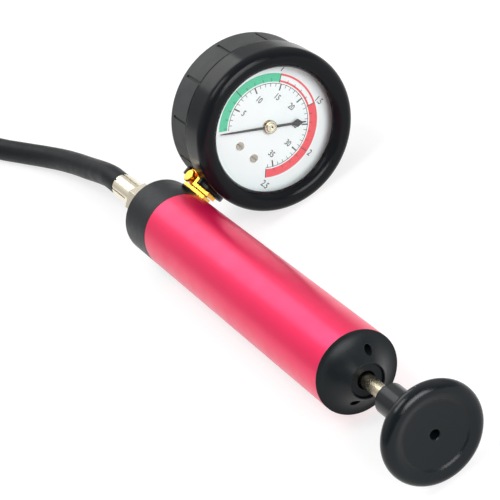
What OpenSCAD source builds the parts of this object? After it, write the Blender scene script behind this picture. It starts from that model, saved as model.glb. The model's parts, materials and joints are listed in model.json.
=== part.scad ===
// Hand pump pressure tester: a barrel pump with a boot-covered gauge on a brass tee,
// a release button, and a rubber hose that ends in a quick coupler.
// The pump is drawn about its own axis: +X runs along the barrel to the knob, with 0 at
// the knob end of the tube, and +Y runs up the gauge stem. lay() then sets it down as it
// rests, on the head cap's edge, the knob's rim and the boot's rim.

/* [Barrel] */
// Outside diameter of the barrel and of both caps
barrel_od = 35; // [32:0.5:42]
// Wall of the barrel tube
barrel_wall = 1.5; // [1:0.1:2.5]
// Length of tube that shows between the two caps
barrel_len = 162.5; // [130:0.5:220]
// Length of each cap's spigot inside the tube
spigot_len = 12; // [10:0.5:16]

/* [Head cap] */
// Length of the collar beside the tube
head_collar = 22; // [20:0.5:30]
// Rounding of the collar's outer edge
cap_round = 0.8; // [0.3:0.1:1.5]
// Length of the outlet boss behind the collar
boss_len = 10; // [8:0.5:16]
// Diameter of the boss at the collar
boss_root_d = 25; // [22:0.5:30]
// Diameter of the boss at its end
boss_tip_d = 20; // [16:0.5:22]
// Diameter of the air passages
passage_d = 4; // [3:0.1:5]
// Section diameter of the cap's O-ring
o_ring_d = 1.6; // [1.2:0.1:2]

/* [Outlet valve] */
// Diameter of the valve seat plug
seat_d = 12; // [10:0.5:14]
// Length of the valve seat plug
seat_len = 5.5; // [5:0.1:7]
// Diameter of the valve ball
ball_d = 6; // [5:0.1:7]
// Length of the ball's chamber behind the seat
chamber_len = 10; // [8.5:0.1:12]
// Wire diameter of the valve spring
check_wire = 0.5; // [0.3:0.05:0.7]
// Travel of the ball off its seat
check_lift = 2; // [1:0.1:2.5]

/* [Guide cap] */
// Straight edge below the flared face
guide_collar = 0.3; // [0.2:0.1:3]
// Height of the cap outside the tube
guide_rise = 9; // [7:0.1:13]
// Diameter of the recess round the rod
recess_d = 14.2; // [13.4:0.1:16]
// Depth of the recess
recess_depth = 2.8; // [1.5:0.1:4]
// Width of the rim round the recess
recess_rim = 0.4; // [0.2:0.1:1]
// Diameter of the rod's hole in the recess
rod_hole_d = 8.2; // [7:0.1:9]
// Diameter of the two vent holes
vent_d = 3.4; // [2:0.1:4.5]
// Diameter of the circle that the vents lie on
vent_circle_d = 21.6; // [19.5:0.1:24]
// Turn of the vents from the gauge stem
vent_turn = 31; // [0:1:90]
// Outside diameter of the rod's guide bush
bush_d = 10; // [9:0.1:12]
// Length of the rod's guide bush
bush_len = 13; // [10:0.5:15]

/* [Plunger] */
// Diameter of the piston rod
rod_d = 6; // [5:0.1:7]
// Length of rod that shows at rest
rod_show = 16.5; // [10:0.5:40]
// Gap left at both ends of the stroke
stop_gap = 0.5; // [0.3:0.1:2]
// Length of rod past the piston nut
rod_tail = 2; // [1:0.1:4]
// Width across flats of the piston nut
nut_af = 10; // [9:0.5:13]
// Thickness of the piston nut
nut_len = 4; // [3:0.1:6]
// Thickness of the clamp washer
washer_t = 1.5; // [1:0.1:3]
// Diameter of the clamp washer
washer_d = 24; // [18:0.5:26]
// Thickness of the cup seal's base
cup_base = 2.5; // [1.5:0.1:4]
// Length of the cup seal's lip
cup_lip = 8; // [5:0.1:10]
// Thickness of the cup seal's lip
cup_lip_t = 2.2; // [1.5:0.1:2.6]
// Length of the piston
piston_len = 6; // [4:0.1:12]
// Length of the rubber bumper behind the piston
bumper_len = 3; // [2:0.1:5]
// Diameter of the rubber bumper
bumper_d = 18; // [12:0.5:22]

/* [Knob] */
// Diameter of the knob
knob_d = 41.7; // [37:0.1:50]
// Diameter of the knob's neck
knob_neck_d = 13; // [10:0.1:16]
// Length of the knob
knob_len = 34.9; // [30:0.1:45]
// Radius of the knob's rounded lip
knob_lip = 3.6; // [2.5:0.1:4.5]
// Radius of the flare between neck and disc
knob_flare = 4; // [2:0.1:5]
// Rise of the knob's back from the flare to the lip
knob_back_rise = 2.7; // [1:0.1:4]
// Diameter of the dish in the knob's face
dish_d = 28; // [24:0.1:30]
// Depth of the dish's middle below the lip's crown
dish_depth = 1.7; // [1.2:0.1:4]
// Depth of the step round the dish
dish_step = 0.4; // [0.2:0.1:0.8]
// Diameter of the hole in the knob's face
knob_hole_d = 4.2; // [3:0.1:4.6]
// Length of rod held in the knob
rod_grip = 18; // [12:0.5:24]

/* [Brass tee] */
// Distance of the stem from the head cap's outer edge
stem_inset = 11; // [9.5:0.1:12.5]
// Diameter of the tee's threaded spigot
tee_thread_d = 9.8; // [8:0.1:10.6]
// Depth of the spigot in the cap
tee_depth = 9.5; // [6:0.1:11]
// Depth of the flat spot on the cap under the washer
spot_depth = 0.7; // [0.4:0.1:1.2]
// Diameter of the sealing washer
stem_washer_d = 14.6; // [14:0.1:16]
// Thickness of the sealing washer
stem_washer_t = 0.6; // [0.4:0.1:1]
// Width across flats of the lower hexagon
low_hex_af = 12; // [11.4:0.1:14]
// Thickness of the lower hexagon
low_hex_t = 1.6; // [1.2:0.1:3]
// Length of the neck between the hexagons
tee_neck = 0.5; // [0.3:0.1:2]
// Width across flats of the upper hexagon
top_hex_af = 14.2; // [14:0.1:17]
// Height of the upper hexagon
top_hex_t = 6.9; // [6.4:0.1:9]
// Diameter of the gauge's threaded stem
gauge_thread_d = 9; // [7:0.1:11]
// Depth of the gauge's stem in the tee
gauge_thread_depth = 1.9; // [1:0.1:2.2]

/* [Release button] */
// Diameter of the button's head
button_d = 5.8; // [4.4:0.1:6]
// Thickness of the button's head
button_t = 1.2; // [0.8:0.1:2.5]
// Travel of the button
button_travel = 0.7; // [0.4:0.05:1.2]
// Height of the button's axis above the upper hexagon's foot
button_up = 2.3; // [2.2:0.1:3]
// Diameter of the button's shank
shank_d = 2.4; // [1.8:0.1:2.8]
// Outside diameter of the seat bush
release_bush_d = 3.8; // [3.4:0.1:4.2]
// Length of the seat bush
release_bush_len = 5; // [3.5:0.1:6]

/* [Gauge] */
// Gap between the tee and the gauge case
case_gap = 0.8; // [0.5:0.1:3]
// Wall of the boot's front ring over the case
boot_ring_wall = 4.1; // [3:0.1:7]
// Wall of the boot's ribbed part over the case
boot_rib_wall = 3.1; // [2.6:0.1:6]
// Diameter of the boot's opening over the lens
boot_view_d = 57.2; // [48:0.2:60]
// Reach of the boot behind the stem
boot_rear = 13; // [12.5:0.1:18]
// Length of the ribbed part
boot_rib_len = 17; // [12:0.1:18]
// Width of the groove between ribs and ring
boot_ring_gap = 2; // [1:0.1:3]
// Depth of that groove
boot_ring_depth = 1.2; // [0.5:0.1:1.5]
// Wall of the boot's collar round the stem
boot_collar_wall = 1.3; // [0.8:0.1:3]
// Reach of that collar below the front ring
boot_collar_len = 1.9; // [0.5:0.1:3]
// Thickness of the boot's rear lip
boot_floor = 2.1; // [1.6:0.1:3]
// Diameter of the opening in the boot's rear
boot_eye_d = 54; // [40:0.5:62]
// Number of grooves round the boot
groove_count = 12; // [6:1:18]
// Width of each groove
groove_w = 1.2; // [0.6:0.1:3]
// Depth of each groove
groove_depth = 0.6; // [0.3:0.1:1.5]
// Distance from the boot's rear to each groove
groove_start = 3.5; // [2:0.1:8]
// Turn of the first groove from the stem
groove_turn = 9; // [0:1:30]
// Outside diameter of the gauge case
case_d = 67; // [64:0.1:72]
// Wall of the gauge case
case_wall = 1; // [0.8:0.1:1.2]
// Thickness of the bezel's front flange
bezel_t = 0.6; // [0.4:0.1:1]
// Width of the bezel's flange over the lens
bezel_lap = 3.8; // [2:0.1:6]
// Width of the lens gasket
gasket_lap = 3.5; // [1.5:0.1:6]
// Thickness of the lens gasket
gasket_t = 0.5; // [0.3:0.1:0.8]
// Thickness of the lens
lens_t = 1.6; // [1.2:0.1:3]
// Gap between the pointer's hub and the lens
lens_gap = 0.45; // [0.3:0.05:4]
// Distance of the dial's face in front of the stem
dial_ahead = 10.6; // [10:0.1:11.4]
// Thickness of the dial
dial_t = 0.8; // [0.5:0.1:1]
// Radius of the dial screws' places
dial_screw_x = 4.7; // [3:0.1:8]
// Distance of the dial screws below the centre
dial_screw_y = 15.1; // [13:0.1:18]
// Sweep of the pointer
pointer_sweep = 270; // [180:1:270]
// Length of the pointer from its centre
pointer_len = 24.3; // [18:0.1:26]
// Length of the pointer's tail
tail_reach = 17.6; // [12:0.1:20]

/* [Gauge movement] */
// Thickness of the movement's plates
plate_t = 1; // [0.8:0.1:1.2]
// Radius of the movement's plates
plate_r = 14.8; // [14.4:0.1:17]
// Space between the plates
plate_space = 6; // [5.6:0.1:7]
// Space between the front plate and the dial
dial_stand = 2.3; // [2:0.1:2.6]
// Tooth module of pinion and sector
tooth_module = 0.3; // [0.25:0.01:0.35]
// Swing of the sector gear
sector_swing = 30; // [20:1:30]
// Direction from the centre to the sector's pivot
pivot_turn = -51; // [-60:1:-45]
// Thickness of the sector gear
sector_t = 1.2; // [1:0.1:1.4]
// Length of the sector's tail
tail_len = 7; // [5:0.1:8]
// Diameter of the movement's pivots
pivot_d = 1.5; // [1.2:0.1:1.6]
// Diameter of the link's pins
link_pin_d = 1.2; // [1:0.1:1.3]
// Thickness of the link
link_t = 0.8; // [0.6:0.1:0.9]
// Radius of the pressure tube's bend
tube_bend = 23; // [22.5:0.1:26]
// Thickness of the flattened pressure tube
tube_t = 2.4; // [2:0.1:3]
// Depth of the flattened pressure tube
tube_deep = 7; // [5:0.1:7.4]
// Angle of the pressure tube's tip
tube_tip_turn = -25; // [-30:1:-15]
// Angle of the pressure tube's root
tube_root_turn = 232; // [220:1:238]

/* [Hose] */
// Outside diameter of the hose
hose_d = 11; // [9:0.1:11.4]
// Width across flats of the hose fitting
fitting_af = 14; // [12:0.1:18]
// Length of the fitting's hexagon
fitting_hex = 13; // [8:0.1:16]
// Length of the fitting's cone
fitting_cone = 1.5; // [1:0.1:5]
// Diameter of the fitting's thread
fitting_thread_d = 10; // [9:0.1:11]
// Depth of the fitting in the boss
fitting_depth = 12; // [8:0.1:13]
// Length of a crimped ferrule
ferrule_len = 19; // [14:0.1:22]
// Wall of a crimped ferrule
ferrule_wall = 0.9; // [0.6:0.1:1.2]
// Squeeze of the hose in a ferrule
hose_squeeze = 0.7; // [0.3:0.1:1]
// Crimp marks round a ferrule
crimp_count = 8; // [6:1:10]
// Width of a crimp mark
crimp_w = 0.9; // [0.6:0.1:1.4]
// Depth of a crimp mark
crimp_depth = 0.5; // [0.2:0.05:0.5]
// Thickness of the hose tie
tie_t = 1.2; // [0.8:0.1:1.6]
// Width of the hose tie
tie_w = 9; // [6:0.5:14]

/* [Coupler] */
// Diameter of the coupler's mouth
mouth_d = 12; // [11:0.1:12.6]
// Outside diameter of the coupler's body
coupler_d = 15; // [14.6:0.1:16.4]
// Length of the body in front of its hexagon
coupler_len = 35; // [34:0.5:40]
// Width across flats of the coupler's hexagon
coupler_af = 17; // [16:0.5:19]
// Length of the coupler's hexagon
coupler_hex = 7; // [5:0.5:10]
// Outside diameter of the sleeve
sleeve_d = 20; // [19.4:0.1:21]
// Travel of the sleeve
sleeve_travel = 4; // [2:0.1:4.4]
// Diameter of the locking balls
lock_ball_d = 3.2; // [2.6:0.1:3.6]
// Number of locking balls
lock_balls = 6; // [4:1:6]
// Distance from the mouth to the locking balls
lock_ball_back = 10.5; // [9:0.1:12]
// Travel of the coupler's valve
valve_travel = 3; // [1:0.1:4]

/* [Hidden] */
$fn = 64;
fit = 0.05;
seat_gap = 0.3;
over = 1;
cap_black = "#34383b";
rubber_black = "#2b2d2f";
barrel_red = "#e23365";
steel_grey = "#b9b6ac";
brass_gold = "#d9a53c";
nickel = "#d8d4c6";
spring_steel = "#9a9c9e";

// Stations along the barrel's axis
barrel_r = barrel_od / 2;
boss_root_r = boss_root_d / 2;
boss_tip_r = boss_tip_d / 2;
o_ring_x = -barrel_len + spigot_len / 2;
bore_r = barrel_r - barrel_wall;
spigot_r = bore_r - fit;
o_ring_r = spigot_r - o_ring_d / 2;
tube_end = -barrel_len;
head_face = tube_end + spigot_len;
head_edge = tube_end - head_collar;
boss_end = head_edge - boss_len;
stem_x = head_edge + stem_inset;
chamber_top = head_face - seat_len;
chamber_end = chamber_top - chamber_len;
rod_r = rod_d / 2;
recess_r = recess_d / 2;
knob_x = guide_rise + rod_show;
knob_r = knob_d / 2;
knob_front = knob_x + knob_len;
knob_rim_x = knob_front - knob_lip;
stroke_in = rod_show - stop_gap;
rod_end = head_face + stop_gap + stroke_in;
nut_x = rod_end + rod_tail;
washer_x = nut_x + nut_len;
cup_x = washer_x + washer_t;
piston_x = cup_x + cup_base;
bumper_x = piston_x + piston_len;
stroke_out = -spigot_len - stop_gap - (bumper_x + bumper_len);

// Outlet valve: the ball meets a 45 degree cone
ball_r = ball_d / 2;
passage_r = passage_d / 2;
chamber_r = ball_r + 0.6;
seat_throat_r = passage_r;
seat_cone = ball_r + 0.5 - seat_throat_r;
cone_tip_x = chamber_top + seat_cone + seat_throat_r;
ball_x = cone_tip_x - (ball_r + 2 * fit) * sqrt(2);
check_spring_r = ball_r - check_wire;
check_spring_top = ball_x - sqrt(ball_r * ball_r - check_spring_r * check_spring_r) - check_wire;

// Stations up the gauge stem
spot_y = barrel_r - spot_depth;
stem_foot = spot_y - tee_depth;
low_hex_y = spot_y + stem_washer_t;
neck_y = low_hex_y + low_hex_t;
top_hex_y = neck_y + tee_neck;
tee_top = top_hex_y + top_hex_t;
button_y = top_hex_y + button_up;
button_flat = top_hex_af / 2;
button_back = button_flat + button_travel + 0.1;
button_face = button_back + button_t;
shank_r = shank_d / 2;
release_bush_z = button_flat - release_bush_len;
release_bore_r = release_bush_d / 2;
poppet_t = 1;
seal_t = 0.8;
poppet_top = release_bush_z - fit - seal_t;
release_spring_len = 3.5;
release_floor = poppet_top - poppet_t - release_spring_len;

// Gauge stations, along the barrel's axis
case_r = case_d / 2;
boot_r = case_r + boot_ring_wall;
boot_rib_r = case_r + boot_rib_wall;
boot_gap_r = min(boot_r, boot_rib_r) - boot_ring_depth;
boot_view_r = boot_view_d / 2;
boot_lip = (boot_r - boot_view_r) / 2;
gauge_off = tee_top + case_gap + case_r;
boot_cut_r = max(top_hex_af / 2 / cos(30), button_face) + 0.5;
boot_collar_r = boot_cut_r + boot_collar_wall;
boot_collar_y = gauge_off - boot_r - boot_collar_len;
boot_rib_end = stem_x - boot_rear + boot_rib_len;
boot_tail = stem_x - boot_rear;
case_back = boot_tail + boot_floor;
dial_face = stem_x + dial_ahead;
pointer_x = dial_face + 1.9;
hub_top = dial_face + 3.2;
case_edge = hub_top + lens_gap;
lens_front = case_edge + lens_t;
gasket_front = lens_front + gasket_t;
bezel_front = gasket_front + bezel_t;
lip_x = bezel_front + fit;
lip_ring_r = boot_r - boot_lip;
lens_r = case_r - case_wall / 2;
dial_r = case_r - case_wall - seat_gap;
front_plate_x = dial_face - dial_t - dial_stand - plate_t;
rear_plate_x = front_plate_x - plate_space - plate_t;
sector_x = rear_plate_x + plate_t + plate_space / 2 - sector_t;
link_x = sector_x - seat_gap - link_t;
tube_x = rear_plate_x - tube_deep / 2;
socket_rear = tube_x - tube_deep / 2;
zero_turn = 90 + pointer_sweep / 2;

// Movement: the sector drives the pinion, and its tail is pulled by the tube's tip
pinion_teeth = 10;
pinion_pitch_r = pinion_teeth * tooth_module / 2;
sector_ratio = pointer_sweep / sector_swing;
sector_pitch_r = pinion_pitch_r * sector_ratio;
tooth_high = 0.8 * tooth_module;
tooth_low = 1.3 * tooth_module;
pivot_off = pinion_pitch_r + sector_pitch_r;
pivot_at = pivot_off * [cos(pivot_turn), sin(pivot_turn)];
tail_turn = pivot_turn - sector_swing / 2;
tail_at = pivot_at + tail_len * [cos(tail_turn), sin(tail_turn)];
tip_wedge = 8;
tip_at = tube_bend * [cos(tube_tip_turn - tip_wedge / 2), sin(tube_tip_turn - tip_wedge / 2)];
tip_travel = 2 * tail_len * sin(sector_swing / 2);
pivot_r = pivot_d / 2;
tooth_turn = 360 / pinion_teeth / sector_ratio;
sector_rest = pivot_turn + 180 - sector_swing / 2;
rim_r = sector_pitch_r - tooth_low - 1.6;
collet_r = 1.3;
spiral_in = collet_r + seat_gap;
spiral_out = 4.6;
spiral_x = front_plate_x - 1.8;
link_pin_r = link_pin_d / 2;
pillar_places = [[-8.4, -10], [9, 9], [-11, 4]];
movement_screw_places = [[-3, -12], [3, -12]];
socket_half = 6;
socket_foot = -case_r + case_wall + seat_gap;
socket_step = -19;
socket_top = -9;
socket_front = stem_x + gauge_thread_d / 2 + 0.5;
arm_out = 2.5;
case_screw_places = [[-3.5, -22.5], [3.5, -22.5]];

// Hose stations behind the head cap
fitting_r = fitting_af / 2;
hose_r = hose_d / 2;
grip_r = hose_r - hose_squeeze;
fitting_neck_d = 2 * (grip_r - seat_gap);
ferrule_r = grip_r + fit + ferrule_wall;
cone_x = boss_end - fitting_hex;
neck_x = cone_x - fitting_cone;
ferrule_x = neck_x;
ferrule_front = 1.5;
ferrule_end = ferrule_x - ferrule_len;

// Coupler stations, from the mouth of the hose's end ferrule
neck_end = ferrule_len + 2;
body_z = neck_end + coupler_hex;
mouth_z = body_z + coupler_len;
lock_z = mouth_z - lock_ball_back;
mouth_r = mouth_d / 2;
body_r = coupler_d / 2;
sleeve_r = sleeve_d / 2;
lock_ball_r = lock_ball_d / 2;
gallery_r = mouth_r + 0.2;
gallery_top = lock_z + lock_ball_r + fit + 0.05;
gallery_z = lock_z - lock_ball_r - 3.9;
lip_z = gallery_z - 2;
mouth_seal_t = 2;
adaptor_thread = 5;
valve_bore_r = 5;
valve_lip_r = 3.8;
valve_top = lip_z - 2 * fit;
poppet_len = 2;
collar_z = body_z + adaptor_thread + 1;
collar_r = sleeve_r - 1.15;
land_z = lock_z - 2;
recess_z = lock_z + 2.5;
clip_z = mouth_z - 4.7;
clip_t = 1.1;
sleeve_front = clip_z - seat_gap;
sleeve_back = body_z + sleeve_travel + 0.5;
coupler_wire = 0.5;
coupler_coil_r = collar_r - 0.1 - coupler_wire / 2;
valve_wire = 0.7;

// How the pump lies: its axis rises to the knob, and the gauge leans on its boot
lie_tilt = atan((knob_r - barrel_r) / (knob_rim_x - head_edge));
axis_z = barrel_r * cos(lie_tilt) - head_edge * sin(lie_tilt);
boot_rise = boot_r * cos(lie_tilt) - axis_z - lip_x * sin(lie_tilt);
lie_roll = asin(boot_rise / (gauge_off * cos(lie_tilt)));
low_x = ferrule_end * cos(lie_tilt) - ferrule_r * sin(lie_tilt);
high_x = knob_front * cos(lie_tilt) + (knob_r - knob_lip) * sin(lie_tilt);
mid_x = (low_x + high_x) / 2;
mid_y = (gauge_off * cos(lie_roll) + boot_r - knob_r) / 2;

// Route of the hose from the end of its ferrule: it drops to the floor, then climbs on to
// its own last quarter turn. Each point is an offset from the ferrule's end and a height
hose_root = lay_point([ferrule_end, 0, 0]);
coil_at = [hose_root.x - 352, hose_root.y - 3.9];
coil_r = 50;
coil_layer = hose_d + 0.5;
coil_low = hose_r + tie_t + seat_gap;
coil_high = coil_low + coil_layer;
coil_start = [coil_at.x + hose_d, coil_at.y - coil_r, coil_high];
coil_end = [coil_at.x - coil_r, coil_at.y + hose_d, coil_low];
run_route = [
    [-31, -0.3, 9.7], [-43, -1.5, 7.5], [-57, -3.7, 4.5], [-73, -6.7, 1.8],
    [-89, -10.9, 0.4], [-107, -16.4, 0], [-127, -22.9, 0], [-166.5, -34, 0.3],
    [-208.5, -42.4, 2], [-253.5, -48.6, 6.3], [-293.5, -52, 10.6], [-326.5, -53.5, 12.8],
];
grip_ease = 1.3;
run_points = concat(
    [lay_point([ferrule_x - ferrule_front - seat_gap, 0, 0]), hose_root,
     lay_point([ferrule_end - grip_ease, 0, 0]), lay_point([ferrule_end - 19.5, 0, 0])],
    [for (p = run_route) [hose_root.x + p.x, hose_root.y + p.y, hose_r + p.z]],
    [coil_start + [0.3, 0, 0]]);
tail_len_y = 26;
tail_rise = sleeve_d / 2 + 0.2 - coil_low;
coupler_at = coil_end + [0, tail_len_y, tail_rise];
tail_points = concat(
    [for (t = [0.01, 0.2, 0.35, 0.5, 0.65, 0.8, 1 - grip_ease / tail_len_y, 1])
        coil_end + [0, tail_len_y * t, tail_rise * ease(t)]],
    [coupler_at + [0, ferrule_len - ferrule_front - seat_gap, 0]]);

function lay_point(p) = let (up = p.y * sin(lie_roll) + p.z * cos(lie_roll))
    [p.x * cos(lie_tilt) - up * sin(lie_tilt) - mid_x,
     p.y * cos(lie_roll) - p.z * sin(lie_roll) - mid_y,
     p.x * sin(lie_tilt) + up * cos(lie_tilt) + axis_z];
function arc(centre, r, from, to, steps) = [for (i = [0 : steps])
    let (a = from + (to - from) * i / steps) centre + r * [cos(a), sin(a)]];
function unit(v) = v / norm(v);
function ease(t) = let (u = min(max(t, 0), 1)) u * u * (3 - 2 * u);
function heading(path, i) = unit(path[min(i + 1, len(path) - 1)] - path[max(i - 1, 0)]);
function grips(path, first, last) = [for (i = [0 : len(path) - 1])
    i < first || i > len(path) - 1 - last ? grip_r : hose_r];
function ring_points(path, i, r, sides) = let (
        t = heading(path, i),
        side = unit(cross(t, [0, 0, 1])),
        up = cross(side, t))
    [for (k = [0 : sides - 1]) let (a = 360 * k / sides - 90)
        path[i] + r * (cos(a) * side + sin(a) * up)];
function coil_z(a) = a < 240
    ? coil_high - (coil_high - hose_r) * ease((a - 120) / 120)
    : hose_r + (coil_low - hose_r) * ease((a - 320) / 40);
coil_points = concat([coil_start],
    [for (a = [0 : 15 : 450]) [coil_at.x - coil_r * sin(a), coil_at.y - coil_r * cos(a), coil_z(a)]],
    [coil_end]);
function helix(r, turns, length, steps) = [for (i = [0 : turns * steps])
    let (a = 360 * i / steps) [r * cos(a), r * sin(a), length * i / (turns * steps)]];
function least_gap(path, r, apart) = min([for (i = [0 : len(path) - 1])
    for (j = [i + apart : 1 : len(path) - 1]) norm(path[i] - path[j])]) - 2 * r;
function polar(r, a) = r * [cos(a), sin(a)];
function tooth(a, turn, low, high) = [polar(low, a - 0.26 * turn), polar(high, a - 0.1 * turn),
    polar(high, a + 0.1 * turn), polar(low, a + 0.26 * turn)];
function joined(lists) = [for (list = lists) for (item = list) item];

echo(coil_gap = least_gap(coil_points, hose_r, 3));
echo(stroke_in = stroke_in, stroke_out = stroke_out, lie_tilt = lie_tilt, lie_roll = lie_roll);
echo(mid_x = mid_x, mid_y = mid_y, axis_z = axis_z, gauge_off = gauge_off, coupler_at = coupler_at);

module lay() {
    translate([-mid_x, -mid_y, axis_z]) rotate([0, -lie_tilt, 0]) rotate([lie_roll, 0, 0]) children();
}

module on_axis(x = 0) {
    translate([x, 0, 0]) rotate([0, 90, 0]) children();
}

module on_stem(y = 0) {
    translate([stem_x, y, 0]) rotate([-90, 0, 0]) children();
}

module in_gauge(x = 0) {
    translate([x, gauge_off, 0]) rotate([0, 90, 0]) children();
}

module at_button(z = 0) {
    translate([stem_x, button_y, z]) children();
}

module on_hose_end(z = 0) {
    translate(coupler_at) rotate([-90, 0, 0]) translate([0, 0, z]) children();
}

module lathe(outline) {
    rotate_extrude() polygon(outline);
}

module ring(outer, inner, length) {
    difference() {
        cylinder(r = outer, h = length);
        translate([0, 0, -over]) cylinder(r = inner, h = length + 2 * over);
    }
}

module hexagon(flats, length) {
    cylinder(d = flats / cos(30), h = length, $fn = 6);
}

module tube_along(path, r, sides) {
    last = len(path) - 1;
    rings = [for (i = [0 : last]) ring_points(path, i, is_list(r) ? r[i] : r, sides)];
    side_faces = [for (i = [0 : last - 1]) for (k = [0 : sides - 1]) let (
            a = i * sides + k,
            b = i * sides + (k + 1) % sides)
        each [[a, b, b + sides], [a, b + sides, a + sides]]];
    first_cap = [for (k = [1 : sides - 2]) [0, k + 1, k]];
    end = last * sides;
    last_cap = [for (k = [1 : sides - 2]) [end, end + k, end + k + 1]];
    polyhedron(points = joined(rings), faces = concat(side_faces, first_cap, last_cap));
}

module wire_coil(r, wire, turns, length) {
    tube_along(helix(r, turns, length, 8), wire / 2, 6);
}

module barrel() {
    color(barrel_red) lay() on_axis(tube_end) ring(barrel_r, bore_r, barrel_len);
}

module head_cap() {
    color(cap_black) lay() difference() {
        on_axis() lathe(concat(
            [[0, head_face], [0, boss_end], [boss_tip_r - 1, boss_end],
             [boss_tip_r, boss_end + 1], [boss_root_r, head_edge]],
            arc([barrel_r - cap_round, head_edge + cap_round], cap_round, -90, 0, 6),
            [[barrel_r, tube_end], [spigot_r, tube_end], [spigot_r, head_face]]));
        on_axis(o_ring_x - 0.7 * o_ring_d)
            ring(barrel_r, o_ring_r - o_ring_d / 2 - fit, 1.4 * o_ring_d);
        on_axis(chamber_top) cylinder(d = seat_d + 2 * fit, h = seat_len + over);
        on_axis(chamber_end) cylinder(r = chamber_r, h = chamber_len + over);
        on_axis(boss_end) cylinder(r = passage_r, h = chamber_end - boss_end + over);
        on_axis(boss_end - over) cylinder(d = fitting_thread_d + 2 * fit, h = fitting_depth + over);
        on_stem(stem_foot - seat_gap) cylinder(d = tee_thread_d + 2 * fit, h = barrel_r);
        on_stem() cylinder(r = passage_r, h = barrel_r);
        on_stem(spot_y) cylinder(d = stem_washer_d + 2 * seat_gap, h = barrel_r);
    }
}

module head_o_ring() {
    color(rubber_black) lay() on_axis(o_ring_x)
        rotate_extrude() translate([o_ring_r, 0]) circle(d = o_ring_d, $fn = 24);
}

module check_seat() {
    color(brass_gold) lay() on_axis(chamber_top) difference() {
        cylinder(d = seat_d, h = seat_len);
        translate([0, 0, -over]) cylinder(r = seat_throat_r, h = seat_len + 2 * over);
        translate([0, 0, -over]) cylinder(r1 = seat_throat_r + seat_cone + over,
            r2 = seat_throat_r, h = seat_cone + over);
    }
}

module check_ball() {
    color(steel_grey) lay() on_axis(ball_x) sphere(d = ball_d);
}

module check_spring() {
    rest = chamber_end + check_wire / 2 + fit;
    color(spring_steel) lay() on_axis(rest)
        wire_coil(check_spring_r, check_wire, 5, check_spring_top - rest);
}

module guide_cap() {
    color(cap_black) lay() difference() {
        on_axis() lathe(concat(
            [[0, -spigot_len], [spigot_r, -spigot_len], [spigot_r, 0], [barrel_r, 0]],
            [for (i = [0 : 12]) let (t = i / 12)
                [barrel_r + (recess_r + recess_rim - barrel_r) * t,
                 guide_collar + (guide_rise - guide_collar) * t * t]],
            [[0, guide_rise]]));
        on_axis(guide_rise - recess_depth) cylinder(d = recess_d, h = recess_depth + over);
        on_axis(-spigot_len) cylinder(d = rod_hole_d, h = spigot_len + guide_rise + over);
        on_axis(-spigot_len - over) cylinder(d = bush_d + 2 * fit, h = bush_len + over);
        for (turn = [vent_turn, vent_turn + 180])
            on_axis(-spigot_len - over) rotate([0, 0, 90 + turn])
                translate([vent_circle_d / 2, 0, 0])
                    cylinder(d = vent_d, h = spigot_len + guide_rise + 2 * over);
    }
}

module rod_bush() {
    color(brass_gold) lay() on_axis(-spigot_len) ring(bush_d / 2, rod_r + fit, bush_len);
}

module piston_rod() {
    color(steel_grey) lay() on_axis(rod_end) cylinder(r = rod_r, h = knob_x + rod_grip - rod_end);
}

module piston() {
    color(cap_black) lay() on_axis(piston_x) ring(bore_r - 0.5, rod_r + fit, piston_len);
}

module piston_cup() {
    lip_end = piston_x - cup_lip;
    lip_r = bore_r - fit - cup_lip_t;
    color(rubber_black) lay() on_axis() lathe([[rod_r + fit, cup_x], [lip_r, cup_x],
        [lip_r + 0.6, lip_end], [bore_r - fit, lip_end], [bore_r - fit, piston_x],
        [rod_r + fit, piston_x]]);
}

module piston_washer() {
    color(steel_grey) lay() on_axis(washer_x) ring(washer_d / 2, rod_r + fit, washer_t);
}

module piston_nut() {
    color(steel_grey) lay() on_axis(nut_x) difference() {
        hexagon(nut_af, nut_len);
        translate([0, 0, -over]) cylinder(r = rod_r + fit, h = nut_len + 2 * over);
    }
}

module rod_bumper() {
    color(rubber_black) lay() on_axis(bumper_x) ring(bumper_d / 2, rod_r + fit, bumper_len);
}

module knob() {
    neck_r = knob_neck_d / 2;
    lip_ring = knob_r - knob_lip;
    back_x = knob_rim_x - knob_lip - knob_back_rise;
    lip_end = [lip_ring + knob_lip * cos(108), knob_rim_x + knob_lip * sin(108)];
    dish_r = min(dish_d / 2, lip_end.x - 0.5);
    dish_top = lip_end.y - (lip_end.x - dish_r) * tan(18);
    dish_edge = dish_top - dish_step;
    dish_floor = knob_front - dish_depth;
    socket_end = knob_x + rod_grip + seat_gap;
    hole_r = knob_hole_d / 2;
    color(cap_black) lay() on_axis() lathe(concat(
        [[rod_r + fit, knob_x], [neck_r - 0.6, knob_x], [neck_r, knob_x + 0.6]],
        arc([neck_r + knob_flare, back_x - knob_flare], knob_flare, 180, 90, 6),
        arc([lip_ring, knob_rim_x], knob_lip, -90, 108, 18),
        [[dish_r, dish_top]],
        [for (i = [0 : 6]) let (r = dish_r - 0.3 + (hole_r - dish_r + 0.3) * i / 6)
            [r, dish_floor + (dish_edge - dish_floor) * pow((r - hole_r) / (dish_r - 0.3 - hole_r), 2)]],
        [[hole_r, socket_end], [rod_r + fit, socket_end]]));
}

module stem_washer() {
    color(rubber_black) lay() on_stem(spot_y)
        ring(stem_washer_d / 2, tee_thread_d / 2 + fit, stem_washer_t);
}

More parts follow.
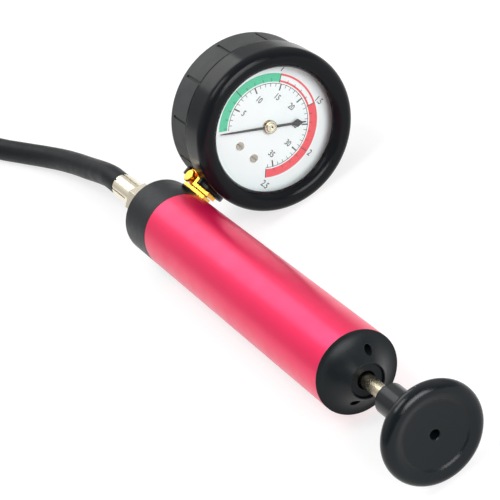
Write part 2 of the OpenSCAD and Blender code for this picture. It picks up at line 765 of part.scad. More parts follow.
module gauge_tee() {
    color(brass_gold) lay() difference() {
        union() {
            on_stem(stem_foot) cylinder(d = tee_thread_d, h = low_hex_y - stem_foot + low_hex_t / 2);
            on_stem(low_hex_y) hexagon(low_hex_af, low_hex_t);
            on_stem(neck_y - low_hex_t / 2) cylinder(d = low_hex_af - 2, h = tee_neck + low_hex_t);
            on_stem(top_hex_y) hexagon(top_hex_af, top_hex_t);
        }
        on_stem(stem_foot - over) cylinder(r = passage_r - 0.5, h = tee_top - stem_foot + 2 * over);
        on_stem(tee_top - gauge_thread_depth) cylinder(d = gauge_thread_d + 2 * fit, h = top_hex_t);
        at_button(release_floor) cylinder(r = release_bore_r + fit, h = top_hex_af);
    }
}

module release_bush() {
    color(brass_gold) lay() at_button(release_bush_z)
        ring(release_bore_r, shank_r + 3 * fit, release_bush_len);
}

module release_button() {
    color(brass_gold) lay() at_button() lathe([[0, poppet_top - poppet_t],
        [release_bore_r - seat_gap, poppet_top - poppet_t], [release_bore_r - seat_gap, poppet_top],
        [shank_r, poppet_top], [shank_r, button_back], [button_d / 2, button_back],
        [button_d / 2, button_face - 0.3], [button_d / 2 - 0.3, button_face], [0, button_face]]);
}

module release_seal() {
    color(rubber_black) lay() at_button(poppet_top)
        ring(release_bore_r - seat_gap, shank_r + fit, seal_t);
}

module release_spring() {
    wire = 0.35;
    color(spring_steel) lay() at_button(release_floor + wire / 2 + fit)
        wire_coil(release_bore_r - wire - 0.1, wire, 4, release_spring_len - wire - 2 * fit);
}

// Collar that reaches down round the stem, open beside the release button
module boot_collar() {
    height = gauge_off - case_r - fit - 0.2 - boot_collar_y;
    difference() {
        on_stem(boot_collar_y) lathe([[0, 0], [boot_collar_r - 0.4, 0], [boot_collar_r, 0.4],
            [boot_collar_r, height], [0, height]]);
        translate([stem_x - boot_collar_r, boot_collar_y - over, button_flat])
            cube([2 * boot_collar_r, height + 2 * over, boot_collar_r]);
    }
}

module gauge_boot() {
    inner = case_r + fit;
    back = case_back - fit;
    cut_y = min(top_hex_y, boot_collar_y - over);
    color(rubber_black) lay() difference() {
        union() {
            in_gauge() lathe(concat(
                [[boot_eye_d / 2, boot_tail], [boot_rib_r - 1, boot_tail], [boot_rib_r, boot_tail + 1],
                 [boot_rib_r, boot_rib_end - 0.4], [boot_rib_r - 0.4, boot_rib_end],
                 [boot_gap_r, boot_rib_end + 0.2],
                 [boot_gap_r, boot_rib_end + boot_ring_gap - 0.4],
                 [boot_r, boot_rib_end + boot_ring_gap]],
                arc([lip_ring_r, lip_x], boot_lip, 0, 180, 16),
                [[inner, lip_x], [inner, back], [boot_eye_d / 2, back]]));
            boot_collar();
        }
        for (i = [0 : groove_count - 1])
            in_gauge(boot_tail + groove_start) rotate([0, 0, 90 + groove_turn + 360 * i / groove_count])
                translate([boot_rib_r - groove_depth, -groove_w / 2, 0])
                    cube([groove_depth + over, groove_w, boot_rib_len - groove_start + boot_ring_gap / 2]);
        on_stem(cut_y) cylinder(r = boot_cut_r, h = tee_top - cut_y + case_gap + 3);
    }
}

module gauge_case() {
    color(cap_black) lay() difference() {
        in_gauge(case_back) difference() {
            cylinder(r = case_r, h = case_edge - case_back);
            translate([0, 0, case_wall]) cylinder(r = case_r - case_wall, h = case_edge - case_back);
            for (place = case_screw_places)
                translate([place.x, place.y, -over]) cylinder(r = 1.1, h = case_wall + 2 * over);
        }
        on_stem(tee_top) cylinder(d = gauge_thread_d + 1, h = 8);
    }
}

module gauge_bezel() {
    flange_r = lens_r - bezel_lap;
    color(cap_black) lay() in_gauge() lathe([[flange_r, gasket_front],
        [flange_r, bezel_front], [case_r, bezel_front], [case_r, case_edge],
        [lens_r + fit, case_edge], [lens_r + fit, gasket_front]]);
}

module lens_gasket() {
    color(rubber_black) lay() in_gauge(lens_front) ring(lens_r, lens_r - gasket_lap, gasket_t);
}

module gauge_lens() {
    color("#dfe8ee", 0.4) lay() in_gauge(case_edge) cylinder(r = lens_r, h = lens_t);
}

module gauge_dial() {
    color("#eef1f4") lay() in_gauge(dial_face - dial_t) difference() {
        cylinder(r = dial_r, h = dial_t);
        translate([0, 0, -over]) cylinder(r = 2.6, h = dial_t + 2 * over);
        for (side = [-1, 1]) translate([side * dial_screw_x, -dial_screw_y, -over])
            cylinder(r = 1, h = dial_t + 2 * over);
    }
}

module dial_screws() {
    color(brass_gold) lay() in_gauge(dial_face) for (side = [-1, 1])
        translate([side * dial_screw_x, -dial_screw_y, 0]) difference() {
            union() {
                cylinder(r = 1.9, h = 0.5);
                translate([0, 0, -dial_t - 1.6]) cylinder(r = 0.9, h = dial_t + 2);
            }
            translate([-2.5, -0.25, 0.2]) cube([5, 0.5, 1]);
        }
}

module pointer() {
    spade = tail_reach - 4.2;
    edge = [[pointer_len, 0.12], [pointer_len - 5, 0.35], [0, 0.6], [2.4 - spade, 0.5],
            [-spade, 1.9], [-spade - 2.2, 0.35], [-tail_reach, 0.2]];
    other = [for (i = [len(edge) - 1 : -1 : 0]) [edge[i].x, -edge[i].y]];
    color("#1d1f21") lay() in_gauge(pointer_x) rotate([0, 0, zero_turn]) difference() {
        union() {
            cylinder(r = 3, h = 0.5);
            linear_extrude(0.5) polygon(concat(edge, other));
        }
        translate([0, 0, -over]) cylinder(r = 1.5, h = 0.5 + 2 * over);
    }
}

module pointer_hub() {
    color(brass_gold) lay() in_gauge() lathe([[pivot_r + fit, dial_face + 0.3],
        [1.4, dial_face + 0.3], [1.4, pointer_x + 0.5], [2.3, pointer_x + 0.5],
        [2.3, hub_top - 0.4], [1.9, hub_top], [pivot_r + fit, hub_top]]);
}

module pinion_arbor() {
    low = rear_plate_x - 0.3;
    color(steel_grey) lay() in_gauge() {
        translate([0, 0, low]) cylinder(r = pivot_r, h = hub_top - 0.8 - low);
        translate([0, 0, sector_x - 0.4]) linear_extrude(sector_t + 0.8)
            rotate([0, 0, pivot_turn]) polygon(joined([for (i = [0 : pinion_teeth - 1])
                let (turn = 360 / pinion_teeth)
                tooth(i * turn, turn, pinion_pitch_r - tooth_low, pinion_pitch_r + tooth_high)]));
        translate([0, 0, spiral_x - 0.1]) cylinder(r = collet_r, h = 1);
    }
}

module hairspring() {
    steps = 72;
    thick = 0.16;
    line = [for (i = [0 : steps]) [spiral_in + (spiral_out - spiral_in) * i / steps, 1080 * i / steps]];
    outer = [for (p = line) polar(p[0] + thick, p[1])];
    inner = [for (i = [steps : -1 : 0]) polar(line[i][0], line[i][1])];
    color(spring_steel) lay() in_gauge(spiral_x) {
        linear_extrude(0.8) polygon(concat(outer, inner));
        translate([spiral_out + 0.5, 0, 0]) cylinder(r = 0.55, h = front_plate_x - spiral_x, $fn = 24);
    }
}

module sector_gear() {
    first = -ceil((sector_swing + 5) / tooth_turn);
    teeth = [for (k = [first : 1]) sector_swing / 2 + tooth_turn * (k + 0.5)];
    low = teeth[0] - tooth_turn / 2;
    high = teeth[len(teeth) - 1] + tooth_turn / 2;
    low_r = sector_pitch_r - tooth_low;
    color(brass_gold) lay() in_gauge() translate([pivot_at.x, pivot_at.y, 0])
        rotate([0, 0, sector_rest]) {
            translate([0, 0, sector_x]) linear_extrude(sector_t) {
                polygon(concat(
                    joined([for (a = teeth) tooth(a, tooth_turn, low_r, sector_pitch_r + tooth_high)]),
                    [polar(low_r, high)],
                    [for (i = [0 : 8]) polar(rim_r, high + (low - high) * i / 8)],
                    [polar(low_r, low)]));
                polygon([[0, -1.4], [rim_r + 0.6, -2.6], [rim_r + 0.6, 2.6], [0, 1.4]]);
                circle(r = 2);
                translate([-tail_len, -1.2]) square([tail_len, 2.4]);
                translate([-tail_len, 0]) circle(r = 1.5);
            }
            translate([0, 0, rear_plate_x - 0.3])
                cylinder(r = pivot_r, h = 2 * plate_t + plate_space + 0.6);
            translate([-tail_len, 0, link_x - 0.3]) cylinder(r = link_pin_r, h = sector_x - link_x + 0.6);
        }
}

module tip_link() {
    reach = norm(tip_at - tail_at);
    turn = atan2(tip_at.y - tail_at.y, tip_at.x - tail_at.x);
    color(brass_gold) lay() in_gauge(link_x) translate([tail_at.x, tail_at.y, 0]) rotate([0, 0, turn])
        linear_extrude(link_t) difference() {
            union() {
                circle(r = 1.5);
                translate([reach, 0]) circle(r = 1.8);
                translate([0, -0.9]) square([reach, 1.8]);
            }
            circle(r = link_pin_r + fit);
            translate([reach, 0]) circle(r = link_pin_r + seat_gap);
        }
}

module tube_tip() {
    half = tube_t / 2 + 0.6;
    high = tube_deep / 2 + seat_gap;
    color(brass_gold) lay() in_gauge(tube_x) {
        rotate([0, 0, tube_tip_turn - tip_wedge]) rotate_extrude(angle = tip_wedge)
            translate([tube_bend - half, -high]) square([2 * half, 2 * high]);
        translate([tip_at.x, tip_at.y, high - 0.5])
            cylinder(r = link_pin_r, h = link_x + link_t + 0.3 - tube_x - high + 0.5);
    }
}

module bourdon_tube() {
    flat = tube_deep - tube_t;
    color(brass_gold) lay() in_gauge(tube_x) rotate([0, 0, tube_tip_turn + 0.3])
        rotate_extrude(angle = tube_root_turn - tube_tip_turn - 0.3) translate([tube_bend, 0]) {
            translate([-tube_t / 2, -flat / 2]) square([tube_t, flat]);
            for (side = [-1, 1]) translate([0, side * flat / 2]) circle(d = tube_t, $fn = 24);
        }
}

module gauge_socket() {
    rear = case_back + case_wall;
    color(brass_gold) lay() difference() {
        union() {
            in_gauge(rear) translate([-socket_half, socket_foot + 1.2, 0])
                cube([2 * socket_half, socket_step - socket_foot - 1.2, socket_front - rear]);
            in_gauge(tube_x - tube_deep / 2) translate([-socket_half, socket_step - 1, 0])
                cube([2 * socket_half, socket_top - socket_step + 1, tube_deep]);
            in_gauge(tube_x - tube_deep / 2) rotate([0, 0, tube_root_turn])
                rotate_extrude(angle = 265 - tube_root_turn)
                    translate([tube_bend - arm_out, 0]) square([2 * arm_out, tube_deep]);
            on_stem(tee_top - gauge_thread_depth + fit)
                cylinder(d = gauge_thread_d, h = gauge_thread_depth + case_gap + 8);
        }
        on_stem(tee_top - gauge_thread_depth - over) cylinder(r = passage_r - 0.5, h = 12);
        in_gauge(rear - over) for (place = case_screw_places)
            translate([place.x, place.y, 0]) cylinder(r = 1.05, h = 5);
        in_gauge(rear_plate_x - 4) for (place = movement_screw_places)
            translate([place.x, place.y, 0]) cylinder(r = 0.85, h = 5);
    }
}

module movement_plate(holes) {
    linear_extrude(plate_t) difference() {
        union() {
            circle(r = plate_r);
            translate(pivot_at) circle(r = 3);
            children();
        }
        circle(r = pivot_r + fit);
        translate(pivot_at) circle(r = pivot_r + fit);
        for (place = holes) translate(place) circle(r = 0.9);
    }
}

module rear_plate() {
    color(brass_gold) lay() in_gauge(rear_plate_x) movement_plate(movement_screw_places);
}

module front_plate() {
    places = [for (side = [-1, 1]) [side * dial_screw_x, -dial_screw_y]];
    color(brass_gold) lay() in_gauge(front_plate_x) {
        movement_plate(places) for (place = places) translate(place) circle(r = 2.4);
        for (place = places) translate([place.x, place.y, plate_t]) ring(2.4, 0.95, dial_stand);
    }
}

module plate_pillars() {
    color(brass_gold) lay() in_gauge(rear_plate_x + plate_t) for (place = pillar_places)
        translate([place.x, place.y, 0]) cylinder(r = 1.4, h = plate_space, $fn = 24);
}

module movement_screws() {
    color(steel_grey) lay() in_gauge(rear_plate_x + plate_t) for (place = movement_screw_places)
        translate([place.x, place.y, 0]) {
            cylinder(r = 1.5, h = 0.8, $fn = 24);
            translate([0, 0, -plate_t - 3]) cylinder(r = 0.8, h = plate_t + 3.2, $fn = 24);
        }
}

module case_screws() {
    color(steel_grey) lay() in_gauge(case_back) for (place = case_screw_places)
        translate([place.x, place.y, 0]) difference() {
            union() {
                translate([0, 0, -1.2]) cylinder(r = 1.9, h = 1.2, $fn = 24);
                translate([0, 0, -0.4]) cylinder(r = 1, h = 4.8, $fn = 24);
            }
            translate([-2.5, -0.25, -2]) cube([5, 0.5, 1.3]);
        }
}

module ferrule(length) {
    difference() {
        ring(ferrule_r, fitting_neck_d / 2 + fit, length);
        translate([0, 0, -over]) cylinder(r = grip_r + fit, h = length - ferrule_front + over);
        for (i = [0 : crimp_count - 1]) rotate([0, 0, 360 * i / crimp_count])
            translate([ferrule_r - crimp_depth, -crimp_w / 2, -over])
                cube([over, crimp_w, length - ferrule_front - 2.5 + over]);
    }
}

module hose_fitting() {
    color(nickel) lay() difference() {
        union() {
            on_axis(boss_end - 1) cylinder(d = fitting_thread_d, h = fitting_depth - seat_gap + 1);
            on_axis(cone_x) hexagon(fitting_af, fitting_hex);
            on_axis(neck_x) cylinder(r1 = fitting_neck_d / 2 + 0.6, r2 = fitting_r, h = fitting_cone);
            on_axis(neck_x - ferrule_front) cylinder(d = fitting_neck_d, h = ferrule_front + over);
        }
        on_axis(neck_x - ferrule_front - over)
            cylinder(r = passage_r, h = boss_end + fitting_depth - neck_x + ferrule_front + 2 * over);
    }
}

module hose_ferrule() {
    color(nickel) lay() on_axis(ferrule_end) ferrule(ferrule_len);
}

module hose_run() {
    color(rubber_black) tube_along(run_points, grips(run_points, 2, 0), 10);
}

module hose_coil() {
    color(rubber_black) tube_along(coil_points, hose_r, 6);
}

module hose_tail() {
    color(rubber_black) tube_along(tail_points, grips(tail_points, 0, 2), 10);
}

module stadium(r, apart) {
    for (side = [-1, 1]) translate([side * apart / 2, 0]) circle(r = r);
    translate([-apart / 2, -r]) square([apart, 2 * r]);
}

module hose_tie() {
    inner = hose_r + seat_gap;
    color(rubber_black)
        translate([coil_at.x - coil_r * sin(45), coil_at.y - coil_r * cos(45), (coil_low + coil_high) / 2])
            rotate([0, 90, 135]) translate([0, 0, -tie_w / 2]) linear_extrude(tie_w) difference() {
                stadium(inner + tie_t, coil_layer);
                stadium(inner, coil_layer);
            }
}

module end_ferrule() {
    color(nickel) on_hose_end() ferrule(ferrule_len);
}

module coupler_adaptor() {
    color(brass_gold) on_hose_end() difference() {
        union() {
            translate([0, 0, ferrule_len - ferrule_front])
                cylinder(d = fitting_neck_d, h = neck_end - ferrule_len + ferrule_front + over);
            translate([0, 0, neck_end]) hexagon(coupler_af, coupler_hex);
            translate([0, 0, body_z - over])
                cylinder(r = valve_bore_r - fit, h = adaptor_thread + over);
        }
        translate([0, 0, -over]) cylinder(r = passage_r, h = body_z + adaptor_thread + 2 * over);
    }
}

module coupler_body() {
    color(brass_gold) on_hose_end() difference() {
        lathe([[valve_bore_r, body_z], [body_r, body_z], [body_r, collar_z], [collar_r, collar_z],
            [collar_r, collar_z + 2], [body_r, collar_z + 2], [body_r, clip_z - fit],
            [body_r - 0.7, clip_z - fit], [body_r - 0.7, clip_z + clip_t + fit],
            [body_r, clip_z + clip_t + fit], [body_r, mouth_z - 0.6], [body_r - 0.6, mouth_z],
            [mouth_r, mouth_z], [mouth_r, gallery_top], [gallery_r, gallery_top],
            [gallery_r, gallery_z], [valve_lip_r, gallery_z], [valve_lip_r, lip_z],
            [valve_bore_r, lip_z]]);
        for (i = [0 : lock_balls - 1]) translate([0, 0, lock_z]) rotate([0, 90, 360 * i / lock_balls])
            cylinder(r = lock_ball_r + fit, h = sleeve_r);
    }
}

module coupler_sleeve() {
    color(nickel) on_hose_end() lathe([[collar_r + fit, sleeve_back], [sleeve_r - 0.5, sleeve_back],
        [sleeve_r, sleeve_back + 0.5], [sleeve_r, sleeve_front - 0.5], [sleeve_r - 0.5, sleeve_front],
        [body_r + 1.2, sleeve_front], [body_r + 1.2, recess_z], [body_r + fit, recess_z],
        [body_r + fit, land_z], [collar_r + fit, land_z]]);
}

module coupler_spring() {
    rest = collar_z + 2 + coupler_wire / 2 + fit;
    color(spring_steel) on_hose_end(rest)
        wire_coil(coupler_coil_r, coupler_wire, 6, land_z - rest - coupler_wire / 2 - fit);
}

module coupler_balls() {
    color(steel_grey) on_hose_end(lock_z) for (i = [0 : lock_balls - 1])
        rotate([0, 0, 360 * i / lock_balls]) translate([body_r - lock_ball_r, 0, 0])
            sphere(r = lock_ball_r, $fn = 24);
}

module coupler_clip() {
    color(spring_steel) on_hose_end(clip_z) difference() {
        ring(body_r + 1.1, body_r - 0.7 + fit, clip_t);
        translate([-1.5, 0, -over]) cube([3, sleeve_r, clip_t + 2 * over]);
    }
}

module coupler_seal() {
    color(rubber_black) on_hose_end(gallery_z) ring(gallery_r - fit, valve_lip_r + 0.4, mouth_seal_t);
}

module coupler_valve() {
    color(brass_gold) on_hose_end() lathe([[0, valve_top - poppet_len],
        [valve_bore_r - seat_gap, valve_top - poppet_len], [valve_bore_r - seat_gap, valve_top],
        [2.2, valve_top], [2.2, gallery_z + 2.6], [1.8, gallery_z + 3], [0, gallery_z + 3]]);
}

module coupler_valve_spring() {
    rest = body_z + adaptor_thread + valve_wire / 2 + fit;
    color(spring_steel) on_hose_end(rest)
        wire_coil(3.6, valve_wire, 6, valve_top - poppet_len - rest - valve_wire / 2 - fit);
}

barrel();
head_cap();
head_o_ring();
check_seat();
check_ball();
check_spring();
guide_cap();
rod_bush();
piston_rod();
piston();
piston_cup();
piston_washer();
piston_nut();
rod_bumper();
knob();
stem_washer();
gauge_tee();
release_bush();
release_button();
release_seal();
release_spring();
gauge_boot();
gauge_case();
gauge_bezel();
lens_gasket();
gauge_lens();
gauge_dial();
dial_screws();
pointer();
pointer_hub();
pinion_arbor();
hairspring();
sector_gear();
tip_link();
tube_tip();
bourdon_tube();
gauge_socket();
rear_plate();
front_plate();
plate_pillars();
movement_screws();
case_screws();
hose_fitting();
hose_ferrule();
hose_run();
hose_coil();
hose_tail();
hose_tie();
end_ferrule();
coupler_adaptor();
coupler_body();
coupler_sleeve();
coupler_spring();
coupler_balls();
coupler_clip();
coupler_seal();
coupler_valve();
coupler_valve_spring();
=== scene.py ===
"""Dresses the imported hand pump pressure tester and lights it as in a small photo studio."""

import json
import logging
import math
from dataclasses import dataclass, field
from enum import Enum
from typing import Any, Dict, Iterable, List, Mapping, Optional, Sequence, Tuple

import bmesh
import bpy
from mathutils import Matrix, Vector


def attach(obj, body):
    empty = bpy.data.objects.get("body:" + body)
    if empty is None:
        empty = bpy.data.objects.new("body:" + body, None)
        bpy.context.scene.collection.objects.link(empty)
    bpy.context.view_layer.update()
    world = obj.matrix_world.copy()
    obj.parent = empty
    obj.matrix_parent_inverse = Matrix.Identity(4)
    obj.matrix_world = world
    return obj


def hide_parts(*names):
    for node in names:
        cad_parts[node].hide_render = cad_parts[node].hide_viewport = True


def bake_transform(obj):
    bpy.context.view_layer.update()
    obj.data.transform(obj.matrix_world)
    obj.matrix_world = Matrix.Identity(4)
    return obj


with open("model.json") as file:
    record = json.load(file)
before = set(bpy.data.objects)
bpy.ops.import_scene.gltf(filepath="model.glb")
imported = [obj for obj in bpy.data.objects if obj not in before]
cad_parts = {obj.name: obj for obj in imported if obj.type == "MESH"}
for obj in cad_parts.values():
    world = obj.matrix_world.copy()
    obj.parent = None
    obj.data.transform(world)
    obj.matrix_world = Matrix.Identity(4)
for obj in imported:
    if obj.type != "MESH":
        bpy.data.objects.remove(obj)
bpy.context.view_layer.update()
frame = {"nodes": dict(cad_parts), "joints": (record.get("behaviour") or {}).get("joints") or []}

LOG = logging.getLogger("pressure_tester")
MM = 0.001

Colour = Tuple[float, float, float, float]
Finishes = Mapping[str, Sequence[str]]
Pair = Tuple[float, float]
Piece = bpy.types.Object
Point = Tuple[float, float, float]
Socket = bpy.types.NodeSocket

JOINTS: Mapping[str, Any] = {joint["name"]: joint for joint in frame["joints"]}
BARREL_AXIS: Point = (0.999904, 0.0, 0.013882)
STEM_AXIS: Point = (-0.0045, 0.9458, 0.3247)
HOSE_END_AXIS: Point = (0.0, 1.0, 0.0)
POINTER_PIVOT: Point = (-0.090045, 0.02033, 0.03736)
WHITE: Colour = (1.0, 1.0, 1.0, 1.0)


class Body(str, Enum):
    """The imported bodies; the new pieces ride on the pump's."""

    PUMP = "pump"
    BALL = "valve_ball"
    BUTTON = "button"
    TIP = "tip"
    SLEEVE = "sleeve"
    POPPET = "coupler_poppet"


class Slot(str, Enum):
    """The record's material slot names, which nothing in this script uses."""

    BRASS = "brass"
    CAP = "cap_black"
    HOSE = "hose_rubber"
    SCALE = "pointer_black"
    SPRING = "spring_steel"


def srgb(red: int, green: int, blue: int) -> Colour:
    """Turns a screen colour into the linear one that a shader takes.

    Args:
        red: Red from 0 to 255.
        green: Green from 0 to 255.
        blue: Blue from 0 to 255.

    Returns:
        The linear colour with full alpha.
    """
    shares = [channel / 255 for channel in (red, green, blue)]
    linear = [s / 12.92 if s <= 0.04045 else ((s + 0.055) / 1.055) ** 2.4 for s in shares]
    return (linear[0], linear[1], linear[2], 1.0)


def ease(share: float) -> float:
    """Eases a share from 0 to 1 with level ends."""
    clipped = min(max(share, 0.0), 1.0)
    return clipped * clipped * (3 - 2 * clipped)


def polar(radius: float, angle: float) -> Pair:
    """Gives a point from its radius and its angle in degrees."""
    turn = math.radians(angle)
    return (radius * math.cos(turn), radius * math.sin(turn))


def joint_axis(name: str) -> Vector:
    """Gives a joint's direction, one unit long."""
    return Vector(JOINTS[name]["axis"]).normalized()


def middle_of(corners: Sequence[Vector]) -> Vector:
    """Gives the mean of some points."""
    return sum(corners, Vector()) / len(corners)


def add_object(name: str, data: Any) -> Piece:
    """Puts an object into the scene.

    Args:
        name: Its name.
        data: Its mesh, curve, lamp or camera.

    Returns:
        The new object.
    """
    piece = bpy.data.objects.new(name, data)
    bpy.context.scene.collection.objects.link(piece)
    return piece


def pump_piece(name: str, mesh: bmesh.types.BMesh, place: Optional[Matrix] = None) -> Piece:
    """Turns a closed mesh into a piece that rides on the pump's body.

    Args:
        name: The piece's name.
        mesh: The mesh, which is used up.
        place: The matrix to the row frame, if the mesh isn't in it yet.

    Returns:
        The new piece.
    """
    bmesh.ops.recalc_face_normals(mesh, faces=mesh.faces)
    data = bpy.data.meshes.new(name)
    mesh.to_mesh(data)
    mesh.free()
    if place is not None:
        data.transform(place)
    piece = add_object(name, data)
    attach(piece, Body.PUMP.value)
    return piece


def flexing_piece(node: str, name: str) -> Piece:
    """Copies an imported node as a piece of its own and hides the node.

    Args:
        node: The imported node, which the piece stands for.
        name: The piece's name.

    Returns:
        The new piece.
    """
    piece = add_object(name, frame["nodes"][node].data.copy())
    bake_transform(piece)
    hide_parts(node)
    return piece


@dataclass(frozen=True)
class ShadeAndDirt:
    """Painted shade and dirt in the crevices: its colour, how near to their walls, and how much of it."""

    colour: Colour
    reach: float
    cover: float


class Wiring:
    """Adds nodes to one shader tree and joins their sockets."""

    def __init__(self, tree: bpy.types.NodeTree, effects: Optional["Effects"] = None) -> None:
        """Takes the tree that is wired, and the node groups that it may use."""
        self.tree = tree
        self.effects = effects

    def feed(self, socket: Socket, value: Any) -> None:
        """Links a socket to another one, or sets its own value.

        Args:
            socket: The input to feed.
            value: A socket to link from, or a number, colour or vector.
        """
        if isinstance(value, Socket):
            self.tree.links.new(value, socket)
        else:
            socket.default_value = value

    def add(self, kind: str, inputs: Optional[Mapping[Any, Any]] = None, **settings: Any) -> bpy.types.Node:
        """Adds a node.

        Args:
            kind: The node's type.
            inputs: Values or sockets by input name or number.
            **settings: Properties of the node.

        Returns:
            The new node.
        """
        node = self.tree.nodes.new(kind)
        for name, value in settings.items():
            setattr(node, name, value)
        for key, value in (inputs or {}).items():
            self.feed(node.inputs[key], value)
        return node

    def sum(self, operation: str, first: Any, second: Any, clamp: bool = False) -> Socket:
        """Works out a maths operation on two values, clamped to 0 and 1 if asked."""
        return self.add("ShaderNodeMath", {0: first, 1: second}, operation=operation, use_clamp=clamp).outputs[0]

    def times(self, first: Any, second: Any, clamp: bool = False) -> Socket:
        """Multiplies two values, clamped to 0 and 1 if asked."""
        return self.sum("MULTIPLY", first, second, clamp)

    def plus(self, first: Any, second: Any) -> Socket:
        """Adds two values."""
        return self.sum("ADD", first, second)

    def less(self, first: Any, second: Any) -> Socket:
        """Takes the second value from the first."""
        return self.sum("SUBTRACT", first, second)

    def vector(self, operation: str, first: Any, second: Any = (0.0, 0.0, 0.0)) -> bpy.types.Node:
        """Works out a vector operation."""
        return self.add("ShaderNodeVectorMath", {0: first, 1: second}, operation=operation)

    def dot(self, first: Any, second: Any) -> Socket:
        """Gives how far one vector reaches along another."""
        return self.vector("DOT_PRODUCT", first, second).outputs["Value"]

    def spread(self, value: Any, low: float, high: float, to_low: float = 0.0, to_high: float = 1.0) -> Socket:
        """Maps the values from low to high onto those from to_low to to_high, clamped."""
        node = self.add("ShaderNodeMapRange", {0: value, 1: low, 2: high, 3: to_low, 4: to_high})
        return node.outputs[0]

    def between(self, share: Socket, low: float, high: float) -> Socket:
        """Goes from a low value to a high one as a share goes from 0 to 1."""
        return self.spread(share, 0.0, 1.0, low, high)

    def around(self, share: Socket, middle: float, ends: Pair) -> Socket:
        """Goes from one end to the other about a middle value as a share goes from 0 to 1."""
        return self.between(share, middle + ends[0], middle + ends[1])

    def blend(self, share: Any, first: Any, second: Any) -> Socket:
        """Mixes two colours by the second one's share."""
        return self.add("ShaderNodeMix", {0: share, 6: first, 7: second}, data_type="RGBA").outputs[2]

    def tint(self, mask: Socket, strength: float, under: Any, over: Any) -> Socket:
        """Lays a colour over another one where a mask shows, with a given strength."""
        return self.blend(self.times(mask, strength), under, over)

    def mix(self, share: Socket, first: Any, second: Any) -> Socket:
        """Mixes two values by the second one's share."""
        return self.add("ShaderNodeMix", {0: share, 2: first, 3: second}).outputs[0]

    def position(self) -> Socket:
        """Gives the place on the piece."""
        return self.add("ShaderNodeTexCoord").outputs["Object"]

    def noise(self, scale: Any, detail: float, **more: Any) -> Socket:
        """Runs a noise over the piece, with scale waves to a metre and its other inputs by name."""
        inputs = {"Vector": self.position(), "Scale": scale, "Detail": detail, **more}
        return self.add("ShaderNodeTexNoise", inputs).outputs[0]

    def bump(self, height: Socket, deep: float, **more: Any) -> Socket:
        """Raises a height, from 0 to 1, to a depth in metres."""
        return self.add("ShaderNodeBump", {"Strength": 1.0, "Distance": deep, "Height": height, **more}).outputs[0]

    def eased_bump(self, height: Socket, deep: float, width: float) -> Socket:
        """Raises a height over edges that are eased to a width in metres."""
        return self.bump(height, deep, Normal=self.effects.eased_edges.place(self, width=width)["Normal"])

    def shaded_and_soiled(self, colour: Socket, shade_and_dirt: ShadeAndDirt) -> Socket:
        """Darkens a colour where the piece's own walls close in, as painted shade with some dirt."""
        closed = self.effects.crevices.place(self, reach=shade_and_dirt.reach)["Mask"]
        return self.tint(closed, shade_and_dirt.cover, colour, shade_and_dirt.colour)

    def surface(self, inputs: Mapping[str, Any]) -> Socket:
        """Makes the surface's shader."""
        return self.add("ShaderNodeBsdfPrincipled", inputs).outputs[0]


@dataclass(frozen=True)
class Port:
    """One input or output of a node group."""

    name: str
    value: Any = None
    kind: str = "NodeSocketFloat"


class Effect:
    """A node group that several finishes share. It is built once and placed in each."""

    title = "effect"
    ports_in: Sequence[Port] = ()
    ports_out: Sequence[Port] = (Port("Mask"),)

    def __init__(self) -> None:
        """Builds the group with its sockets and its inside."""
        self.tree = bpy.data.node_groups.new(self.title, "ShaderNodeTree")
        for direction, ports in (("INPUT", self.ports_in), ("OUTPUT", self.ports_out)):
            for port in ports:
                socket = self.tree.interface.new_socket(port.name, in_out=direction, socket_type=port.kind)
                if port.value is not None:
                    socket.default_value = port.value
        self.wiring = Wiring(self.tree)
        self.given = self.wiring.add("NodeGroupInput").outputs
        self.wiring.add("NodeGroupOutput", self.results())

    def results(self) -> Mapping[str, Socket]:
        """Wires the inside of the group and gives what each of its outputs takes."""
        raise NotImplementedError

    def place(self, wiring: Wiring, **values: Any) -> Any:
        """Places the group, with values by input name in small letters and _ for spaces, and gives its outputs."""
        inputs = {name.replace("_", " ").title(): value for name, value in values.items()}
        return wiring.add("ShaderNodeGroup", inputs, node_tree=self.tree).outputs


class WornEdges(Effect):
    """Marks sharp edges, broken up as handling wears them."""

    title = "worn edges"
    ports_in = (Port("Width", 0.0004), Port("Break Up", 900.0))
    sharpness: Pair = (0.03, 0.22)
    patches: Pair = (0.38, 0.62)

    def results(self) -> Mapping[str, Socket]:
        """Compares the rounded normal with the real one and breaks up the result.

        Returns:
            The mask.
        """
        wiring = self.wiring
        rounded = wiring.add("ShaderNodeBevel", {"Radius": self.given["Width"]}, samples=4).outputs[0]
        real = wiring.add("ShaderNodeNewGeometry").outputs["Normal"]
        edge = wiring.spread(wiring.less(1.0, wiring.dot(rounded, real)), *self.sharpness)
        patch = wiring.spread(wiring.noise(self.given["Break Up"], detail=4.0), *self.patches)
        return {"Mask": wiring.times(edge, patch, clamp=True)}


class EasedEdges(Effect):
    """Rounds the shading of sharp edges, as a small radius does."""

    title = "eased edges"
    ports_in = (Port("Width", 0.0003),)
    ports_out = (Port("Normal", kind="NodeSocketVector"),)

    def results(self) -> Mapping[str, Socket]:
        """Takes the normal of the rounded edge."""
        return {"Normal": self.wiring.add("ShaderNodeBevel", {"Radius": self.given["Width"]}, samples=6).outputs[0]}


class Grain(Effect):
    """A fine irregular grain, as tone and as height."""

    title = "grain"
    ports_in = (Port("Size", 0.0003), Port("Unevenness", 0.5))
    ports_out = (Port("Tone"), Port("Height"))
    wide_scale = 0.09
    fine_share = 0.45
    wide_share = 0.55
    tones: Pair = (0.36, 0.64)

    def results(self) -> Mapping[str, Socket]:
        """Layers a fine noise over a wider one.

        Returns:
            The tone and the height.
        """
        wiring, size = self.wiring, self.given["Size"]
        fine = wiring.noise(wiring.sum("DIVIDE", 1.0, size), detail=3.0, Roughness=self.given["Unevenness"])
        wide = wiring.noise(wiring.sum("DIVIDE", self.wide_scale, size), detail=4.0)
        both = wiring.plus(wiring.times(fine, self.fine_share), wiring.times(wide, self.wide_share))
        return {"Height": fine, "Tone": wiring.spread(both, *self.tones)}


